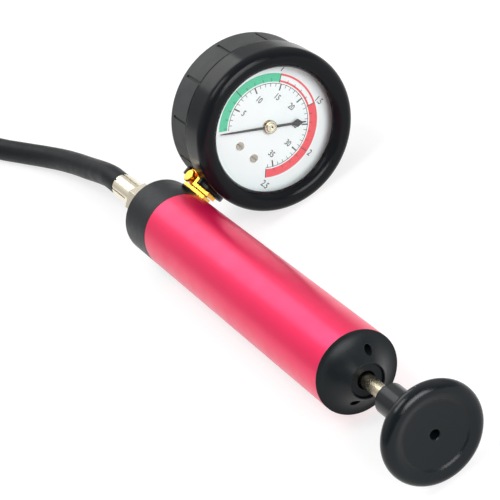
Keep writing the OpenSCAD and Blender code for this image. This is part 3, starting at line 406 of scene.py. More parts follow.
class TurnedLines(Effect):
    """Fine lines round an axis, as a lathe or a drawing die leaves them."""

    title = "turned lines"
    ports_in = (Port("Axis", (1.0, 0.0, 0.0), "NodeSocketVector"), Port("Spacing", 0.0004), Port("Waver", 0.02))
    ports_out = (Port("Tone"), Port("Height"))
    waver_scale = 60.0
    tones: Pair = (0.3, 0.7)

    def results(self) -> Mapping[str, Socket]:
        """Runs a noise along the axis, with a slow waver from place to place.

        Returns:
            The tone and the height.
        """
        wiring = self.wiring
        along = wiring.dot(wiring.position(), self.given["Axis"])
        waver = wiring.times(wiring.noise(self.waver_scale, detail=2.0), self.given["Waver"])
        step = wiring.plus(wiring.sum("DIVIDE", along, self.given["Spacing"]), waver)
        lines = wiring.add("ShaderNodeTexNoise", {"W": step, "Scale": 1.0, "Detail": 3.0},
                           noise_dimensions="1D").outputs[0]
        return {"Height": lines, "Tone": wiring.spread(lines, *self.tones)}


class Smudges(Effect):
    """Soft patches where hands have dulled or polished a surface."""

    title = "smudges"
    ports_in = (Port("Scale", 40.0), Port("Cover", 0.5))
    half_cover = 0.5
    patches: Pair = (0.4, 0.62)

    def results(self) -> Mapping[str, Socket]:
        """Cuts a bent noise at the height that gives the cover.

        Returns:
            The mask.
        """
        wiring = self.wiring
        cloud = wiring.noise(self.given["Scale"], detail=5.0, Roughness=0.6, Distortion=0.6)
        level = wiring.plus(cloud, wiring.less(self.given["Cover"], self.half_cover))
        return {"Mask": wiring.spread(level, *self.patches)}


class SettledDust(Effect):
    """A thin film of dust on what faces upwards."""

    title = "settled dust"
    ports_in = (Port("Amount", 0.1), Port("Scale", 260.0))
    facing: Pair = (0.1, 0.9)
    specks: Pair = (0.35, 0.75)

    def results(self) -> Mapping[str, Socket]:
        """Weighs a speckled noise by how far the surface faces up.

        Returns:
            The mask.
        """
        wiring = self.wiring
        normal = wiring.add("ShaderNodeNewGeometry").outputs["Normal"]
        up = wiring.spread(wiring.add("ShaderNodeSeparateXYZ", {0: normal}).outputs["Z"], *self.facing)
        speck = wiring.spread(wiring.noise(self.given["Scale"], detail=6.0, Roughness=0.7), *self.specks)
        return {"Mask": wiring.times(wiring.times(up, speck), self.given["Amount"], clamp=True)}


class Crevices(Effect):
    """Marks narrow slots and grooves, where dirt stays and little light gets in."""

    title = "crevices"
    ports_in = (Port("Reach", 0.0015),)
    openness: Pair = (0.8, 0.35)

    def results(self) -> Mapping[str, Socket]:
        """Takes how far the piece's own walls close a place in.

        Returns:
            The mask.
        """
        opened = self.wiring.add("ShaderNodeAmbientOcclusion", {"Distance": self.given["Reach"]}, samples=6,
                                 only_local=True)
        return {"Mask": self.wiring.spread(opened.outputs["AO"], *self.openness)}


class Effects:
    """The shared node groups, each built once."""

    def __init__(self) -> None:
        """Builds every group."""
        self.worn_edges = WornEdges()
        self.eased_edges = EasedEdges()
        self.grain = Grain()
        self.turned_lines = TurnedLines()
        self.smudges = Smudges()
        self.settled_dust = SettledDust()
        self.crevices = Crevices()


@dataclass(frozen=True)
class Finish:
    """A surface finish, made into a material once. Its lengths are in metres."""

    name: str

    def make(self, effects: Optional[Effects]) -> bpy.types.Material:
        """Makes the material.

        Args:
            effects: The shared node groups.

        Returns:
            The new material.
        """
        material = bpy.data.materials.new(self.name)
        material.use_nodes = True
        material.node_tree.nodes.clear()
        wiring = Wiring(material.node_tree, effects)
        wiring.add("ShaderNodeOutputMaterial", {"Surface": self.shade(wiring)})
        return material

    def shade(self, wiring: Wiring) -> Socket:
        """Wires the material and gives its shader."""
        raise NotImplementedError


@dataclass(frozen=True)
class Anodised(Finish):
    """Dyed anodised aluminium, satin, with a faint grain."""

    colour: Colour
    deep_colour: Colour
    roughness: float
    metallic: float
    rough_ends: Pair = (-0.03, 0.05)
    grain_size: float = 0.0007
    grain_deep: float = 0.000003
    grain_tone: float = 0.2
    hand_scale: float = 26.0
    hand_cover: float = 0.42
    hand_dulling: float = 0.06
    specular: float = 0.3
    coat: float = 0.2
    coat_roughness: float = 0.25

    def shade(self, wiring: Wiring) -> Socket:
        """Wires the dye, its grain and hand marks.

        Args:
            wiring: The material's wiring.

        Returns:
            The shader.
        """
        grain = wiring.effects.grain.place(wiring, size=self.grain_size, unevenness=0.5)
        hands = wiring.effects.smudges.place(wiring, scale=self.hand_scale, cover=self.hand_cover)
        rough = wiring.plus(wiring.times(hands["Mask"], self.hand_dulling),
                            wiring.around(grain["Tone"], self.roughness, self.rough_ends))
        return wiring.surface({
            "Base Color": wiring.tint(grain["Tone"], self.grain_tone, self.colour, self.deep_colour),
            "Metallic": self.metallic, "Roughness": rough,
            "Normal": wiring.bump(grain["Height"], self.grain_deep), "Specular IOR Level": self.specular,
            "Coat Weight": self.coat, "Coat Roughness": self.coat_roughness})


@dataclass(frozen=True)
class Moulded(Finish):
    """Black moulded or coated parts with a fine spark grain and slightly rubbed edges."""

    colour: Colour
    pale: Colour
    roughness: float
    specular: float
    grain_size: float
    grain_deep: float
    wear: float
    eased: float = 0.0004
    rubbed: Colour = srgb(118, 118, 120)
    dust: Colour = srgb(150, 148, 145)
    # Crevice colour: painted shade in slots and grooves, with some dirt.
    shade_and_dirt: ShadeAndDirt = ShadeAndDirt(srgb(5, 5, 6), 0.0015, 0.8)
    dust_amount: float = 0.012
    grain_tone: float = 0.35
    rough_ends: Pair = (0.0, 0.1)
    hand_polish: float = 0.07

    def shade(self, wiring: Wiring) -> Socket:
        """Wires grain, hand marks, dust and rubbed edges.

        Args:
            wiring: The material's wiring.

        Returns:
            The shader.
        """
        effects = wiring.effects
        grain = effects.grain.place(wiring, size=self.grain_size, unevenness=0.55)
        hands = effects.smudges.place(wiring, scale=34.0, cover=0.45)
        worn = effects.worn_edges.place(wiring, width=0.0006, break_up=500.0)
        dust = effects.settled_dust.place(wiring, amount=self.dust_amount, scale=420.0)
        colour = wiring.tint(grain["Tone"], self.grain_tone, self.colour, self.pale)
        colour = wiring.tint(worn["Mask"], self.wear, colour, self.rubbed)
        colour = wiring.blend(dust["Mask"], colour, self.dust)
        rough = wiring.less(wiring.around(grain["Tone"], self.roughness, self.rough_ends),
                            wiring.times(hands["Mask"], self.hand_polish))
        # The base colour gets painted shade, with some dirt, in the crevices.
        return wiring.surface({
            "Base Color": wiring.shaded_and_soiled(colour, self.shade_and_dirt), "Roughness": rough,
            "Specular IOR Level": self.specular,
            "Normal": wiring.eased_bump(grain["Height"], self.grain_deep, self.eased)})


@dataclass(frozen=True)
class Rubber(Finish):
    """Vulcanised black rubber with a dull bloom and a soft sheen."""

    colour: Colour
    bloom: Colour
    roughness: float
    specular: float
    grain_size: float
    grain_deep: float
    sheen: float
    dust_amount: float
    scuffed: Colour = srgb(120, 120, 120)
    dust: Colour = srgb(160, 158, 154)
    # Dark colour of the polished part; on the boot it also covers the groove's floor as painted shade.
    polished_and_groove_shade: Colour = srgb(20, 22, 25)
    # Crevice colour: painted shade in slots and grooves, with some dirt.
    shade_and_dirt: ShadeAndDirt = ShadeAndDirt(srgb(4, 4, 5), 0.002, 0.85)
    bloom_tone: float = 0.45
    grain_tone: float = 0.3
    scuff_tone: float = 0.22
    rough_ends: Pair = (-0.05, 0.08)
    polish_depth: float = 0.35
    eased: float = 0.0006

    def polish_and_groove_shade(self, wiring: Wiring) -> Any:
        """Gives the share of the polished part, with any painted groove shade, 0 where the rubber is dull all over."""
        return 0.0

    def shade(self, wiring: Wiring) -> Socket:
        """Wires bloom, grain, dust and scuffed edges.

        Args:
            wiring: The material's wiring.

        Returns:
            The shader.
        """
        effects = wiring.effects
        grain = effects.grain.place(wiring, size=self.grain_size, unevenness=0.6)
        bloom = effects.smudges.place(wiring, scale=30.0, cover=0.5)
        scuffs = effects.worn_edges.place(wiring, width=0.0009, break_up=420.0)
        dust = effects.settled_dust.place(wiring, amount=self.dust_amount, scale=330.0)
        polish_and_groove_shade = self.polish_and_groove_shade(wiring)
        colour = wiring.tint(bloom["Mask"], self.bloom_tone, self.colour, self.bloom)
        colour = wiring.tint(grain["Tone"], self.grain_tone, colour, self.bloom)
        colour = wiring.tint(scuffs["Mask"], self.scuff_tone, colour, self.scuffed)
        colour = wiring.blend(dust["Mask"], colour, self.dust)
        colour = wiring.blend(polish_and_groove_shade, colour, self.polished_and_groove_shade)
        rough = wiring.less(wiring.around(grain["Tone"], self.roughness, self.rough_ends),
                            wiring.times(polish_and_groove_shade, self.polish_depth))
        # The base colour gets painted shade, with some dirt, in the crevices.
        return wiring.surface({
            "Base Color": wiring.shaded_and_soiled(colour, self.shade_and_dirt), "Roughness": rough,
            "Specular IOR Level": self.specular, "Sheen Weight": self.sheen, "Sheen Roughness": 0.5,
            "Normal": wiring.eased_bump(grain["Height"], self.grain_deep, self.eased)})


@dataclass(frozen=True)
class BootRubber(Rubber):
    """Boot rubber, dull on the ribbed part and polished from the front ring on; its polished black starts on the
    groove's floor, where it is painted shade.
    """

    axis: Point = BARREL_AXIS
    # Starts on the groove's floor, so the groove is painted dark as shade.
    ring_start: float = -0.0862
    fade: float = 0.0004

    def polish_and_groove_shade(self, wiring: Wiring) -> Socket:
        """Takes the place along the gauge's axis, from the groove's floor on, so the groove gets painted shade."""
        along = wiring.dot(wiring.position(), self.axis)
        return wiring.spread(along, self.ring_start - self.fade, self.ring_start)


@dataclass(frozen=True)
class Metal(Finish):
    """Turned, ground or plated metal with lines, tarnish and polished edges."""

    colour: Colour
    tarnish: Colour
    roughness: float
    axis: Point
    spacing: float
    line_deep: float
    tarnish_cover: float
    # Crevice colour: painted shade in slots and grooves, with some dirt.
    shade_and_dirt: ShadeAndDirt = ShadeAndDirt(srgb(46, 36, 24), 0.0015, 0.85)
    stain_tone: float = 0.5
    line_tone: float = 0.18
    edge_tone: float = 0.5
    rough_ends: Pair = (-0.04, 0.06)
    stain_dulling: float = 0.12
    line_share: float = 0.7
    grain_share: float = 0.3
    eased: float = 0.00025

    def shade(self, wiring: Wiring) -> Socket:
        """Wires lines, tarnish and bright edges.

        Args:
            wiring: The material's wiring.

        Returns:
            The shader.
        """
        effects = wiring.effects
        lines = effects.turned_lines.place(wiring, axis=self.axis, spacing=self.spacing, waver=0.15)
        stain = effects.smudges.place(wiring, scale=90.0, cover=self.tarnish_cover)
        grain = effects.grain.place(wiring, size=0.0002, unevenness=0.6)
        bright = effects.worn_edges.place(wiring, width=0.0004, break_up=600.0)
        colour = wiring.tint(stain["Mask"], self.stain_tone, self.colour, self.tarnish)
        colour = wiring.tint(lines["Tone"], self.line_tone, colour, self.tarnish)
        colour = wiring.tint(bright["Mask"], self.edge_tone, colour, self.colour)
        rough = wiring.plus(wiring.times(stain["Mask"], self.stain_dulling),
                            wiring.around(grain["Tone"], self.roughness, self.rough_ends))
        height = wiring.plus(wiring.times(lines["Height"], self.line_share),
                             wiring.times(grain["Height"], self.grain_share))
        # The base colour gets painted shade, with some dirt, in the crevices.
        return wiring.surface({
            "Base Color": wiring.shaded_and_soiled(colour, self.shade_and_dirt), "Metallic": 1.0, "Roughness": rough,
            "Normal": wiring.eased_bump(height, self.line_deep, self.eased)})


@dataclass(frozen=True)
class Enamel(Finish):
    """Sprayed enamel or printing ink, nearly even, with a little mottling."""

    colour: Colour
    mottle: Colour
    roughness: float
    specular: float = 0.35
    grain_size: float = 0.0005
    grain_deep: float = 0.000006
    mottle_tone: float = 0.4
    film_dulling: float = 0.08

    def shade(self, wiring: Wiring) -> Socket:
        """Wires the mottled paint.

        Args:
            wiring: The material's wiring.

        Returns:
            The shader.
        """
        grain = wiring.effects.grain.place(wiring, size=self.grain_size, unevenness=0.5)
        film = wiring.effects.smudges.place(wiring, scale=55.0, cover=0.4)
        return wiring.surface({
            "Base Color": wiring.tint(grain["Tone"], self.mottle_tone, self.colour, self.mottle),
            "Roughness": wiring.plus(self.roughness, wiring.times(film["Mask"], self.film_dulling)),
            "Specular IOR Level": self.specular, "Normal": wiring.bump(grain["Height"], self.grain_deep)})


@dataclass(frozen=True)
class PointerPaint(Enamel):
    """The pointer's black paint, with the disc round its pivot left bare."""

    pivot: Point = POINTER_PIVOT
    axis: Point = BARREL_AXIS
    bare: Colour = srgb(222, 212, 184)
    bare_radius: float = 0.0028
    bare_edge: float = 0.00005
    bare_roughness: float = 0.26

    def shade(self, wiring: Wiring) -> Socket:
        """Wires the paint and the bare disc.

        Args:
            wiring: The material's wiring.

        Returns:
            The shader.
        """
        grain = wiring.effects.grain.place(wiring, size=self.grain_size, unevenness=0.5)
        paint = wiring.tint(grain["Tone"], self.mottle_tone, self.colour, self.mottle)
        away = wiring.vector("SUBTRACT", wiring.position(), self.pivot).outputs[0]
        across = wiring.vector("CROSS_PRODUCT", away, self.axis).outputs[0]
        reach = wiring.vector("LENGTH", across).outputs["Value"]
        bare = wiring.spread(reach, self.bare_radius + self.bare_edge, self.bare_radius - self.bare_edge)
        return wiring.surface({
            "Base Color": wiring.blend(bare, paint, self.bare), "Metallic": bare,
            "Roughness": wiring.between(bare, self.roughness, self.bare_roughness),
            "Specular IOR Level": self.specular})


@dataclass(frozen=True)
class LensGlass(Finish):
    """Clear window glass that lets the light through to the dial."""

    tint: Colour
    roughness: float
    refraction: float
    film_dulling: float = 0.015

    def shade(self, wiring: Wiring) -> Socket:
        """Wires the glass, clear to shadow rays and to scattered light.

        Args:
            wiring: The material's wiring.

        Returns:
            The shader.
        """
        film = wiring.effects.smudges.place(wiring, scale=48.0, cover=0.35)
        glass = wiring.surface({
            "Base Color": self.tint, "IOR": self.refraction, "Transmission Weight": 1.0,
            "Roughness": wiring.plus(self.roughness, wiring.times(film["Mask"], self.film_dulling))})
        clear = wiring.add("ShaderNodeBsdfTransparent", {"Color": self.tint}).outputs[0]
        rays = wiring.add("ShaderNodeLightPath").outputs
        passing = wiring.sum("MAXIMUM", rays["Is Shadow Ray"], rays["Is Diffuse Ray"])
        return wiring.add("ShaderNodeMixShader", {0: passing, 1: glass, 2: clear}).outputs[0]


def background_rays(wiring: Wiring) -> Socket:
    """Gives 1 for rays that show the background, straight or by metal and glass.

    Args:
        wiring: The wiring of the floor or of the surround.

    Returns:
        The share.
    """
    rays = wiring.add("ShaderNodeLightPath").outputs
    shown = wiring.sum("MAXIMUM", rays["Is Camera Ray"], rays["Is Glossy Ray"])
    return wiring.sum("MAXIMUM", shown, rays["Is Transmission Ray"])


@dataclass(frozen=True)
class FloorPaper(Finish):
    """Pale paper that reads white and keeps the shadow."""

    tone: float
    glow: float

    def shade(self, wiring: Wiring) -> Socket:
        """Wires the paper and its glow.

        Args:
            wiring: The material's wiring.

        Returns:
            The shader.
        """
        paper = wiring.add("ShaderNodeBsdfDiffuse", {"Color": (self.tone,) * 3 + (1.0,)}).outputs[0]
        glow = wiring.add("ShaderNodeEmission", {
            "Color": WHITE, "Strength": wiring.times(background_rays(wiring), self.glow)}).outputs[0]
        return wiring.add("ShaderNodeAddShader", {0: paper, 1: glow}).outputs[0]


class Palette:
    """Every finish of the tester, made on first use."""

    def __init__(self, effects: Effects) -> None:
        """Lists the finishes by name.

        Args:
            effects: The shared node groups.
        """
        self.effects = effects
        self.made: Dict[str, bpy.types.Material] = {}
        listed: Iterable[Finish] = (
            Anodised("red_anodised", srgb(246, 26, 92), srgb(228, 14, 74), 0.32, 0.55),
            # Moulded: colour, pale grain, roughness, specular, grain size and depth, edge wear, eased width.
            Moulded("cap_black", srgb(15, 20, 23), srgb(22, 28, 31), 0.36, 0.2, 0.00028, 0.00002, 0.12),
            Moulded("knob_black", srgb(11, 17, 21), srgb(16, 22, 26), 0.17, 0.24, 0.0004, 0.000008, 0.06, 0.0012),
            Moulded("case_black", srgb(15, 15, 17), srgb(24, 24, 26), 0.34, 0.24, 0.0003, 0.000012, 0.1),
            Moulded("tie_black", srgb(22, 22, 23), srgb(34, 34, 36), 0.4, 0.3, 0.0004, 0.00002, 0.1),
            # Rubber: colour, bloom, roughness, specular, grain size and depth, sheen, dust.
            BootRubber("boot_rubber", srgb(62, 63, 64), srgb(81, 82, 83), 0.48, 0.11, 0.00035, 0.00002, 0.0, 0.03),
            Rubber("hose_rubber", srgb(12, 16, 19), srgb(22, 26, 30), 0.4, 0.1, 0.0005, 0.00004, 0.0, 0.01),
            Rubber("seal_rubber", srgb(22, 22, 23), srgb(38, 38, 39), 0.5, 0.35, 0.0004, 0.00002, 0.03, 0.0),
            # Metal: colour, tarnish, roughness, axis of its lines, their spacing and depth, cover of the tarnish.
            Metal("brass", srgb(252, 188, 72), srgb(222, 146, 44), 0.26, STEM_AXIS, 0.00035, 0.00001, 0.35),
            Metal("pale_brass", srgb(232, 222, 194), srgb(186, 172, 138), 0.22, BARREL_AXIS, 0.0003, 0.000008, 0.35),
            Metal("screw_steel", srgb(196, 188, 174), srgb(112, 104, 92), 0.22, BARREL_AXIS, 0.0003, 0.000008, 0.5),
            Metal("dial_brass", srgb(240, 196, 96), srgb(212, 158, 66), 0.28, BARREL_AXIS, 0.0003, 0.000008, 0.35),
            Metal("nickel_plate", srgb(240, 231, 208), srgb(198, 184, 152), 0.14, BARREL_AXIS, 0.0005, 0.00001, 0.3),
            Metal("coupler_nickel", srgb(222, 218, 206), srgb(178, 168, 146), 0.26, HOSE_END_AXIS, 0.0005,
                  0.000014, 0.45),
            Metal("rod_steel", srgb(232, 222, 196), srgb(176, 160, 126), 0.2, BARREL_AXIS, 0.0003, 0.00001, 0.4),
            Metal("bright_steel", srgb(212, 212, 214), srgb(160, 160, 164), 0.2, BARREL_AXIS, 0.0004, 0.00001, 0.35),
            Metal("spring_steel", srgb(176, 178, 182), srgb(120, 122, 128), 0.3, HOSE_END_AXIS, 0.0003, 0.00001,
                  0.45),
            Enamel("dial_white", srgb(244, 251, 251), srgb(237, 245, 247), 0.42),
            PointerPaint("pointer_black", srgb(22, 23, 25), srgb(38, 39, 42), 0.4),
            Enamel("scale_black", srgb(30, 31, 34), srgb(48, 49, 52), 0.5),
            Enamel("scale_green", srgb(64, 198, 150), srgb(84, 208, 164), 0.45),
            Enamel("scale_red", srgb(240, 72, 82), srgb(244, 92, 100), 0.45),
            LensGlass("lens_glass", (0.975, 0.985, 0.985, 1.0), 0.004, 1.45),
        )
        self.listed = {finish.name: finish for finish in listed}

    def dress(self, piece: Piece, name: str) -> None:
        """Gives a piece one finish all over, whose material is made once.

        Args:
            piece: The piece.
            name: The finish's name.
        """
        if name not in self.made:
            self.made[name] = self.listed[name].make(self.effects)
        piece.data.materials.clear()
        piece.data.materials.append(self.made[name])
        LOG.info("%s: %s", piece.name, name)


@dataclass(frozen=True)
class Lamp:
    """A soft square lamp."""

    name: str
    place: Point
    size: float
    watts: float

    def hang(self, aim: Point) -> None:
        """Adds the lamp, turned to what it lights.

        Args:
            aim: The point that it faces.
        """
        data = bpy.data.lights.new(self.name, "AREA")
        data.size = self.size
        data.energy = self.watts
        lamp = add_object(self.name, data)
        lamp.location = self.place
        lamp.rotation_euler = (Vector(aim) - Vector(self.place)).to_track_quat("-Z", "Y").to_euler()


@dataclass
class Studio:
    """The camera at the photograph's place, a pale floor and soft lamps."""

    lens_mm: float = 157.5
    sensor_mm: float = 36.0
    nearest: float = 0.02
    farthest: float = 60.0
    camera_rows: Sequence[Sequence[float]] = (
        (0.440580, -0.343821, 0.829263, 0.736906),
        (0.806859, 0.556609, -0.197902, -0.207800),
        (-0.393532, 0.756290, 0.522645, 0.503773),
        (0.0, 0.0, 0.0, 1.0))
    floor_size: float = 8.0
    floor_paper: FloorPaper = FloorPaper("pale_floor", 0.36, 0.7)
    sky: float = 0.45
    dark_room: float = 0.2
    dark_horizon: float = 0.6
    room_side: Point = (0.83, -0.2, 0.52)
    room_edge: Pair = (0.2, 0.85)
    horizon_edge: Pair = (0.2, 0.48)
    aim: Point = (-0.03, 0.0, 0.03)
    lamps: Sequence[Lamp] = (
        Lamp("overhead", (0.0, -0.45, 1.3), 0.6, 7.0), Lamp("rear", (-1.2, 0.0, 0.95), 0.8, 4.0),
        Lamp("front", (1.3, 0.2, 0.6), 0.8, 18.5))

    def build_camera(self) -> None:
        """Places the camera."""
        data = bpy.data.cameras.new("camera")
        data.lens = self.lens_mm
        data.sensor_width = self.sensor_mm
        data.clip_start = self.nearest
        data.clip_end = self.farthest
        camera = add_object("camera", data)
        camera.matrix_world = Matrix(self.camera_rows)
        bpy.context.scene.camera = camera

    def build_floor(self) -> None:
        """Lays the floor."""
        mesh = bpy.data.meshes.new("floor")
        half = self.floor_size / 2
        mesh.from_pydata([(-half, -half, 0), (half, -half, 0), (half, half, 0), (-half, half, 0)], [],
                         [(0, 1, 2, 3)])
        mesh.materials.append(self.floor_paper.make(None))
        add_object("floor", mesh)

    def build_light(self) -> None:
        """Sets the white surround, darker where glossy pieces mirror the room, and hangs the lamps."""
        world = bpy.data.worlds.new("studio")
        world.use_nodes = True
        world.node_tree.nodes.clear()
        wiring = Wiring(world.node_tree)
        ray = wiring.add("ShaderNodeTexCoord").outputs["Generated"]
        wall = wiring.spread(wiring.dot(ray, self.room_side), *self.room_edge, 1.0, self.dark_room)
        height = wiring.add("ShaderNodeSeparateXYZ", {0: ray}).outputs["Z"]
        mirrored = wiring.times(wall, wiring.spread(height, *self.horizon_edge, self.dark_horizon, 1.0))
        shown = wiring.mix(background_rays(wiring), self.sky, 1.0)
        glossy = wiring.add("ShaderNodeLightPath").outputs["Is Glossy Ray"]
        light = wiring.add("ShaderNodeBackground", {
            "Color": WHITE, "Strength": wiring.mix(glossy, shown, mirrored)})
        wiring.add("ShaderNodeOutputWorld", {"Surface": light.outputs[0]})
        bpy.context.scene.world = world
        bpy.context.scene.view_settings.view_transform = "Standard"
        for lamp in self.lamps:
            lamp.hang(self.aim)


@dataclass
class Assembly:
    """A sub-assembly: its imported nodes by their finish, and the pieces that are made here."""

    finishes: Finishes = field(default_factory=dict)
    made: List[Tuple[Piece, str]] = field(default_factory=list)

    def build(self) -> None:
        """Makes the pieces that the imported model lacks, which are none unless a class says so."""

    def dress(self, palette: Palette) -> None:
        """Gives each node and each made piece its finish.

        Args:
            palette: The finishes.
        """
        for finish, nodes in self.finishes.items():
            for node in nodes:
                palette.dress(frame["nodes"][node], finish)
        for piece, finish in self.made:
            palette.dress(piece, finish)


@dataclass
class Hose(Assembly):
    """The rubber hose: out of its ferrule, down to the floor, into a coil and up to the coupler.

    Its lengths are in millimetres. The run's posts count from the root, and their heights from the
    centreline of a hose that lies on the floor.
    """

    finishes: Finishes = field(default_factory=lambda: {"tie_black": ["hose_tie"]})
    diameter: float = 11.0
    roundness: int = 7
    squeezed: float = 0.87
    root: Point = (-144.266, -37.08, 16.894)
    lead_in: Sequence[Point] = (
        (-127.07, -37.08, 17.133), (-144.266, -37.08, 16.894), (-145.57, -37.08, 16.876), (-158.0, -37.08, 16.704))
    run: Sequence[Point] = (
        (-19.0, -0.2, 10.5), (-25.0, -0.6, 9.5), (-32.0, -1.2, 8.3), (-43.0, -2.3, 6.4), (-57.0, -3.9, 4.5),
        (-73.0, -6.5, 2.5), (-89.0, -10.5, 1.1), (-107.0, -16.2, 0.3), (-127.0, -22.9, 0.0), (-166.5, -34.0, 0.3),
        (-208.5, -42.4, 2.0), (-253.5, -48.6, 6.3), (-293.5, -52.0, 10.6), (-326.5, -53.5, 12.8))
    post_gap: float = 3.0
    coil_middle: Pair = (-496.266, -40.98)
    coil_radius: float = 50.0
    coil_turn: int = 450
    coil_step: int = 5
    coil_high: float = 18.5
    coil_drop: float = 13.0
    drop_turns: Pair = (120.0, 240.0)
    coil_lift: float = 1.5
    lift_turns: Pair = (320.0, 360.0)
    tail_start: float = 11.0
    tail_length: float = 26.0
    tail_rise: float = 3.2
    tail_steps: int = 20
    grip: float = 17.2
    touch: float = 0.01
    aside: float = 1.0
    carried: Sequence[str] = (
        "hose_tie", "end_ferrule", "coupler_adaptor", "coupler_body", "coupler_sleeve",
        "coupler_spring_wire", "coupler_balls", "coupler_clip", "coupler_seal", "coupler_valve",
        "coupler_valve_spring_wire")

    def coil_point(self, turn: float) -> Vector:
        """Gives the coil's centreline, upper layer first.

        Args:
            turn: How far round it goes, in degrees.

        Returns:
            The point.
        """
        dropped, lifted = (ease((turn - start) / (stop - start)) for start, stop in (self.drop_turns, self.lift_turns))
        north, east = polar(self.coil_radius, turn)
        return Vector((self.coil_middle[0] - east, self.coil_middle[1] - north,
                       self.coil_high - self.coil_drop * dropped + self.coil_lift * lifted))

    def route(self) -> List[Vector]:
        """Gives the whole centreline in metres.

        Returns:
            Its points, from the first ferrule to the second.
        """
        radius = self.diameter / 2
        posts = [Vector(point) for point in self.lead_in]
        posts += [Vector((self.root[0] + x, self.root[1] + y, radius + z)) for x, y, z in self.run]
        coil = [self.coil_point(turn) for turn in range(0, self.coil_turn + 1, self.coil_step)]
        posts.append(coil[0])
        shares = [step / self.tail_steps for step in range(self.tail_steps + 1)]
        tail = [coil[-1] + Vector((0, self.tail_start + self.tail_length * share, self.tail_rise * ease(share)))
                for share in shares]
        last = tail[-1] + Vector((0, self.grip, 0))
        return [point * MM for point in self.smoothed(posts, coil[1]) + coil[1:] + tail + [last]]

    def smoothed(self, posts: Sequence[Vector], after: Vector) -> List[Vector]:
        """Runs a smooth curve through the posts.

        Args:
            posts: The points to pass.
            after: The point that follows the last one.

        Returns:
            Points about post_gap apart, the posts among them.
        """
        chain = [posts[0] * 2 - posts[1], *posts, after]
        points: List[Vector] = []
        for before, start, stop, beyond in zip(chain, chain[1:], chain[2:], chain[3:]):
            reach = (stop - start).length
            count = max(2, round(reach / self.post_gap))
            leave = (stop - before) * (reach / (stop - before).length)
            arrive = (beyond - start) * (reach / (beyond - start).length)
            for step in range(count):
                t = step / count
                points.append(start * (2 * t**3 - 3 * t**2 + 1) + leave * (t**3 - 2 * t**2 + t)
                              + stop * (3 * t**2 - 2 * t**3) + arrive * (t**3 - t**2))
        points.append(posts[-1].copy())
        return points

    def girth(self, point: Vector) -> float:
        """Gives the hose's share of its full thickness, which is less inside the two ferrules.

        Args:
            point: A point of the centreline, in metres.

        Returns:
            1 in the open, and the squeezed share in a ferrule.
        """
        mouth = self.coil_middle[1] + self.tail_start + self.tail_length
        far = self.coil_middle[0] - self.coil_radius + self.aside
        gripped = point.x >= (self.root[0] - self.touch) * MM or (
            point.y >= (mouth - self.touch) * MM and point.x < far * MM)
        return self.squeezed if gripped else 1.0

    def build(self) -> None:
        points = self.route()
        curve = bpy.data.curves.new("hose", "CURVE")
        curve.dimensions = "3D"
        curve.bevel_depth = 1.0  # The points' own radii give the thickness.
        curve.bevel_resolution = self.roundness
        curve.use_fill_caps = True
        spline = curve.splines.new("POLY")
        spline.points.add(len(points) - 1)
        for place, point in zip(spline.points, points):
            place.co = (*point, 1.0)
            place.radius = self.diameter / 2 * MM * self.girth(point)
        spline.use_smooth = True
        piece = add_object("hose", curve)
        self.made.append((piece, "hose_rubber"))
        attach(piece, Body.PUMP.value)
        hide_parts("hose_run", "hose_coil", "hose_tail")


@dataclass
class RodWiper(Assembly):
    """The flat wiper ring that closes the guide cap's recess round the rod, in millimetres."""

    middle: Point = (83.712, -37.08, 20.06)
    section: Sequence[Pair] = ((3.7, 6.25), (6.9, 6.25), (6.9, 7.9), (6.75, 8.05), (4.0, 8.05), (3.7, 7.75))
    steps: int = 96

    def build(self) -> None:
        """Turns the section round the rod."""
        along = Vector(BARREL_AXIS)
        across = Vector((0.0, 1.0, 0.0))
        third = along.cross(across)
        mesh = bmesh.new()
        loops = []
        for step in range(self.steps):
            angle = 2 * math.pi * step / self.steps
            out = across * math.cos(angle) + third * math.sin(angle)
            loops.append([mesh.verts.new((Vector(self.middle) + along * x + out * r) * MM) for r, x in self.section])
        for near, far in zip(loops, loops[1:] + loops[:1]):
            for i in range(len(self.section)):
                mesh.faces.new((near[i - 1], near[i], far[i], far[i - 1]))
        piece = pump_piece("rod_wiper", mesh)
        self.made.append((piece, "cap_black"))


@dataclass
class FlexingSprings(Assembly):
    """The coil springs, each held by the pump at one end and pressed by a moving piece at the other."""

    pressed: Sequence[Tuple[str, str, Body]] = (
        ("check_spring", "check_lift", Body.BALL), ("release_spring", "release_press", Body.BUTTON),
        ("coupler_spring", "sleeve_pull", Body.SLEEVE),
        ("coupler_valve_spring", "coupler_valve_push", Body.POPPET))
    end_coil: float = 0.1

    def build(self) -> None:
        """Copies each spring from its imported wire; the copy keeps its shape and does not shorten with its joint."""
        for node, joint, body in self.pressed:
            wire = [vertex.co for vertex in frame["nodes"][node].data.vertices]
            push = joint_axis(joint)
            middle = middle_of(wire)
            levels = [(corner - middle).dot(push) for corner in wire]
            piece = flexing_piece(node, f"{node}_wire")
            self.made.append((piece, "spring_steel"))


@dataclass
class PressureTube(Assembly):
    """The gauge's pressure tube, still at its root, copied as imported; it does not uncurl with its tip."""

    still_reach: float = 0.0115
    carried_reach: float = 0.0213

    def build(self) -> None:
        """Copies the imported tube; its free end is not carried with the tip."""
        pivot, along = Vector(POINTER_PIVOT), Vector(BARREL_AXIS)
        outward = middle_of([vertex.co for vertex in frame["nodes"]["tube_tip"].data.vertices]) - pivot
        outward = (outward - along * outward.dot(along)).normalized()
        piece = flexing_piece("bourdon_tube", "bourdon_tube_flexing")
        self.made.append((piece, "dial_brass"))


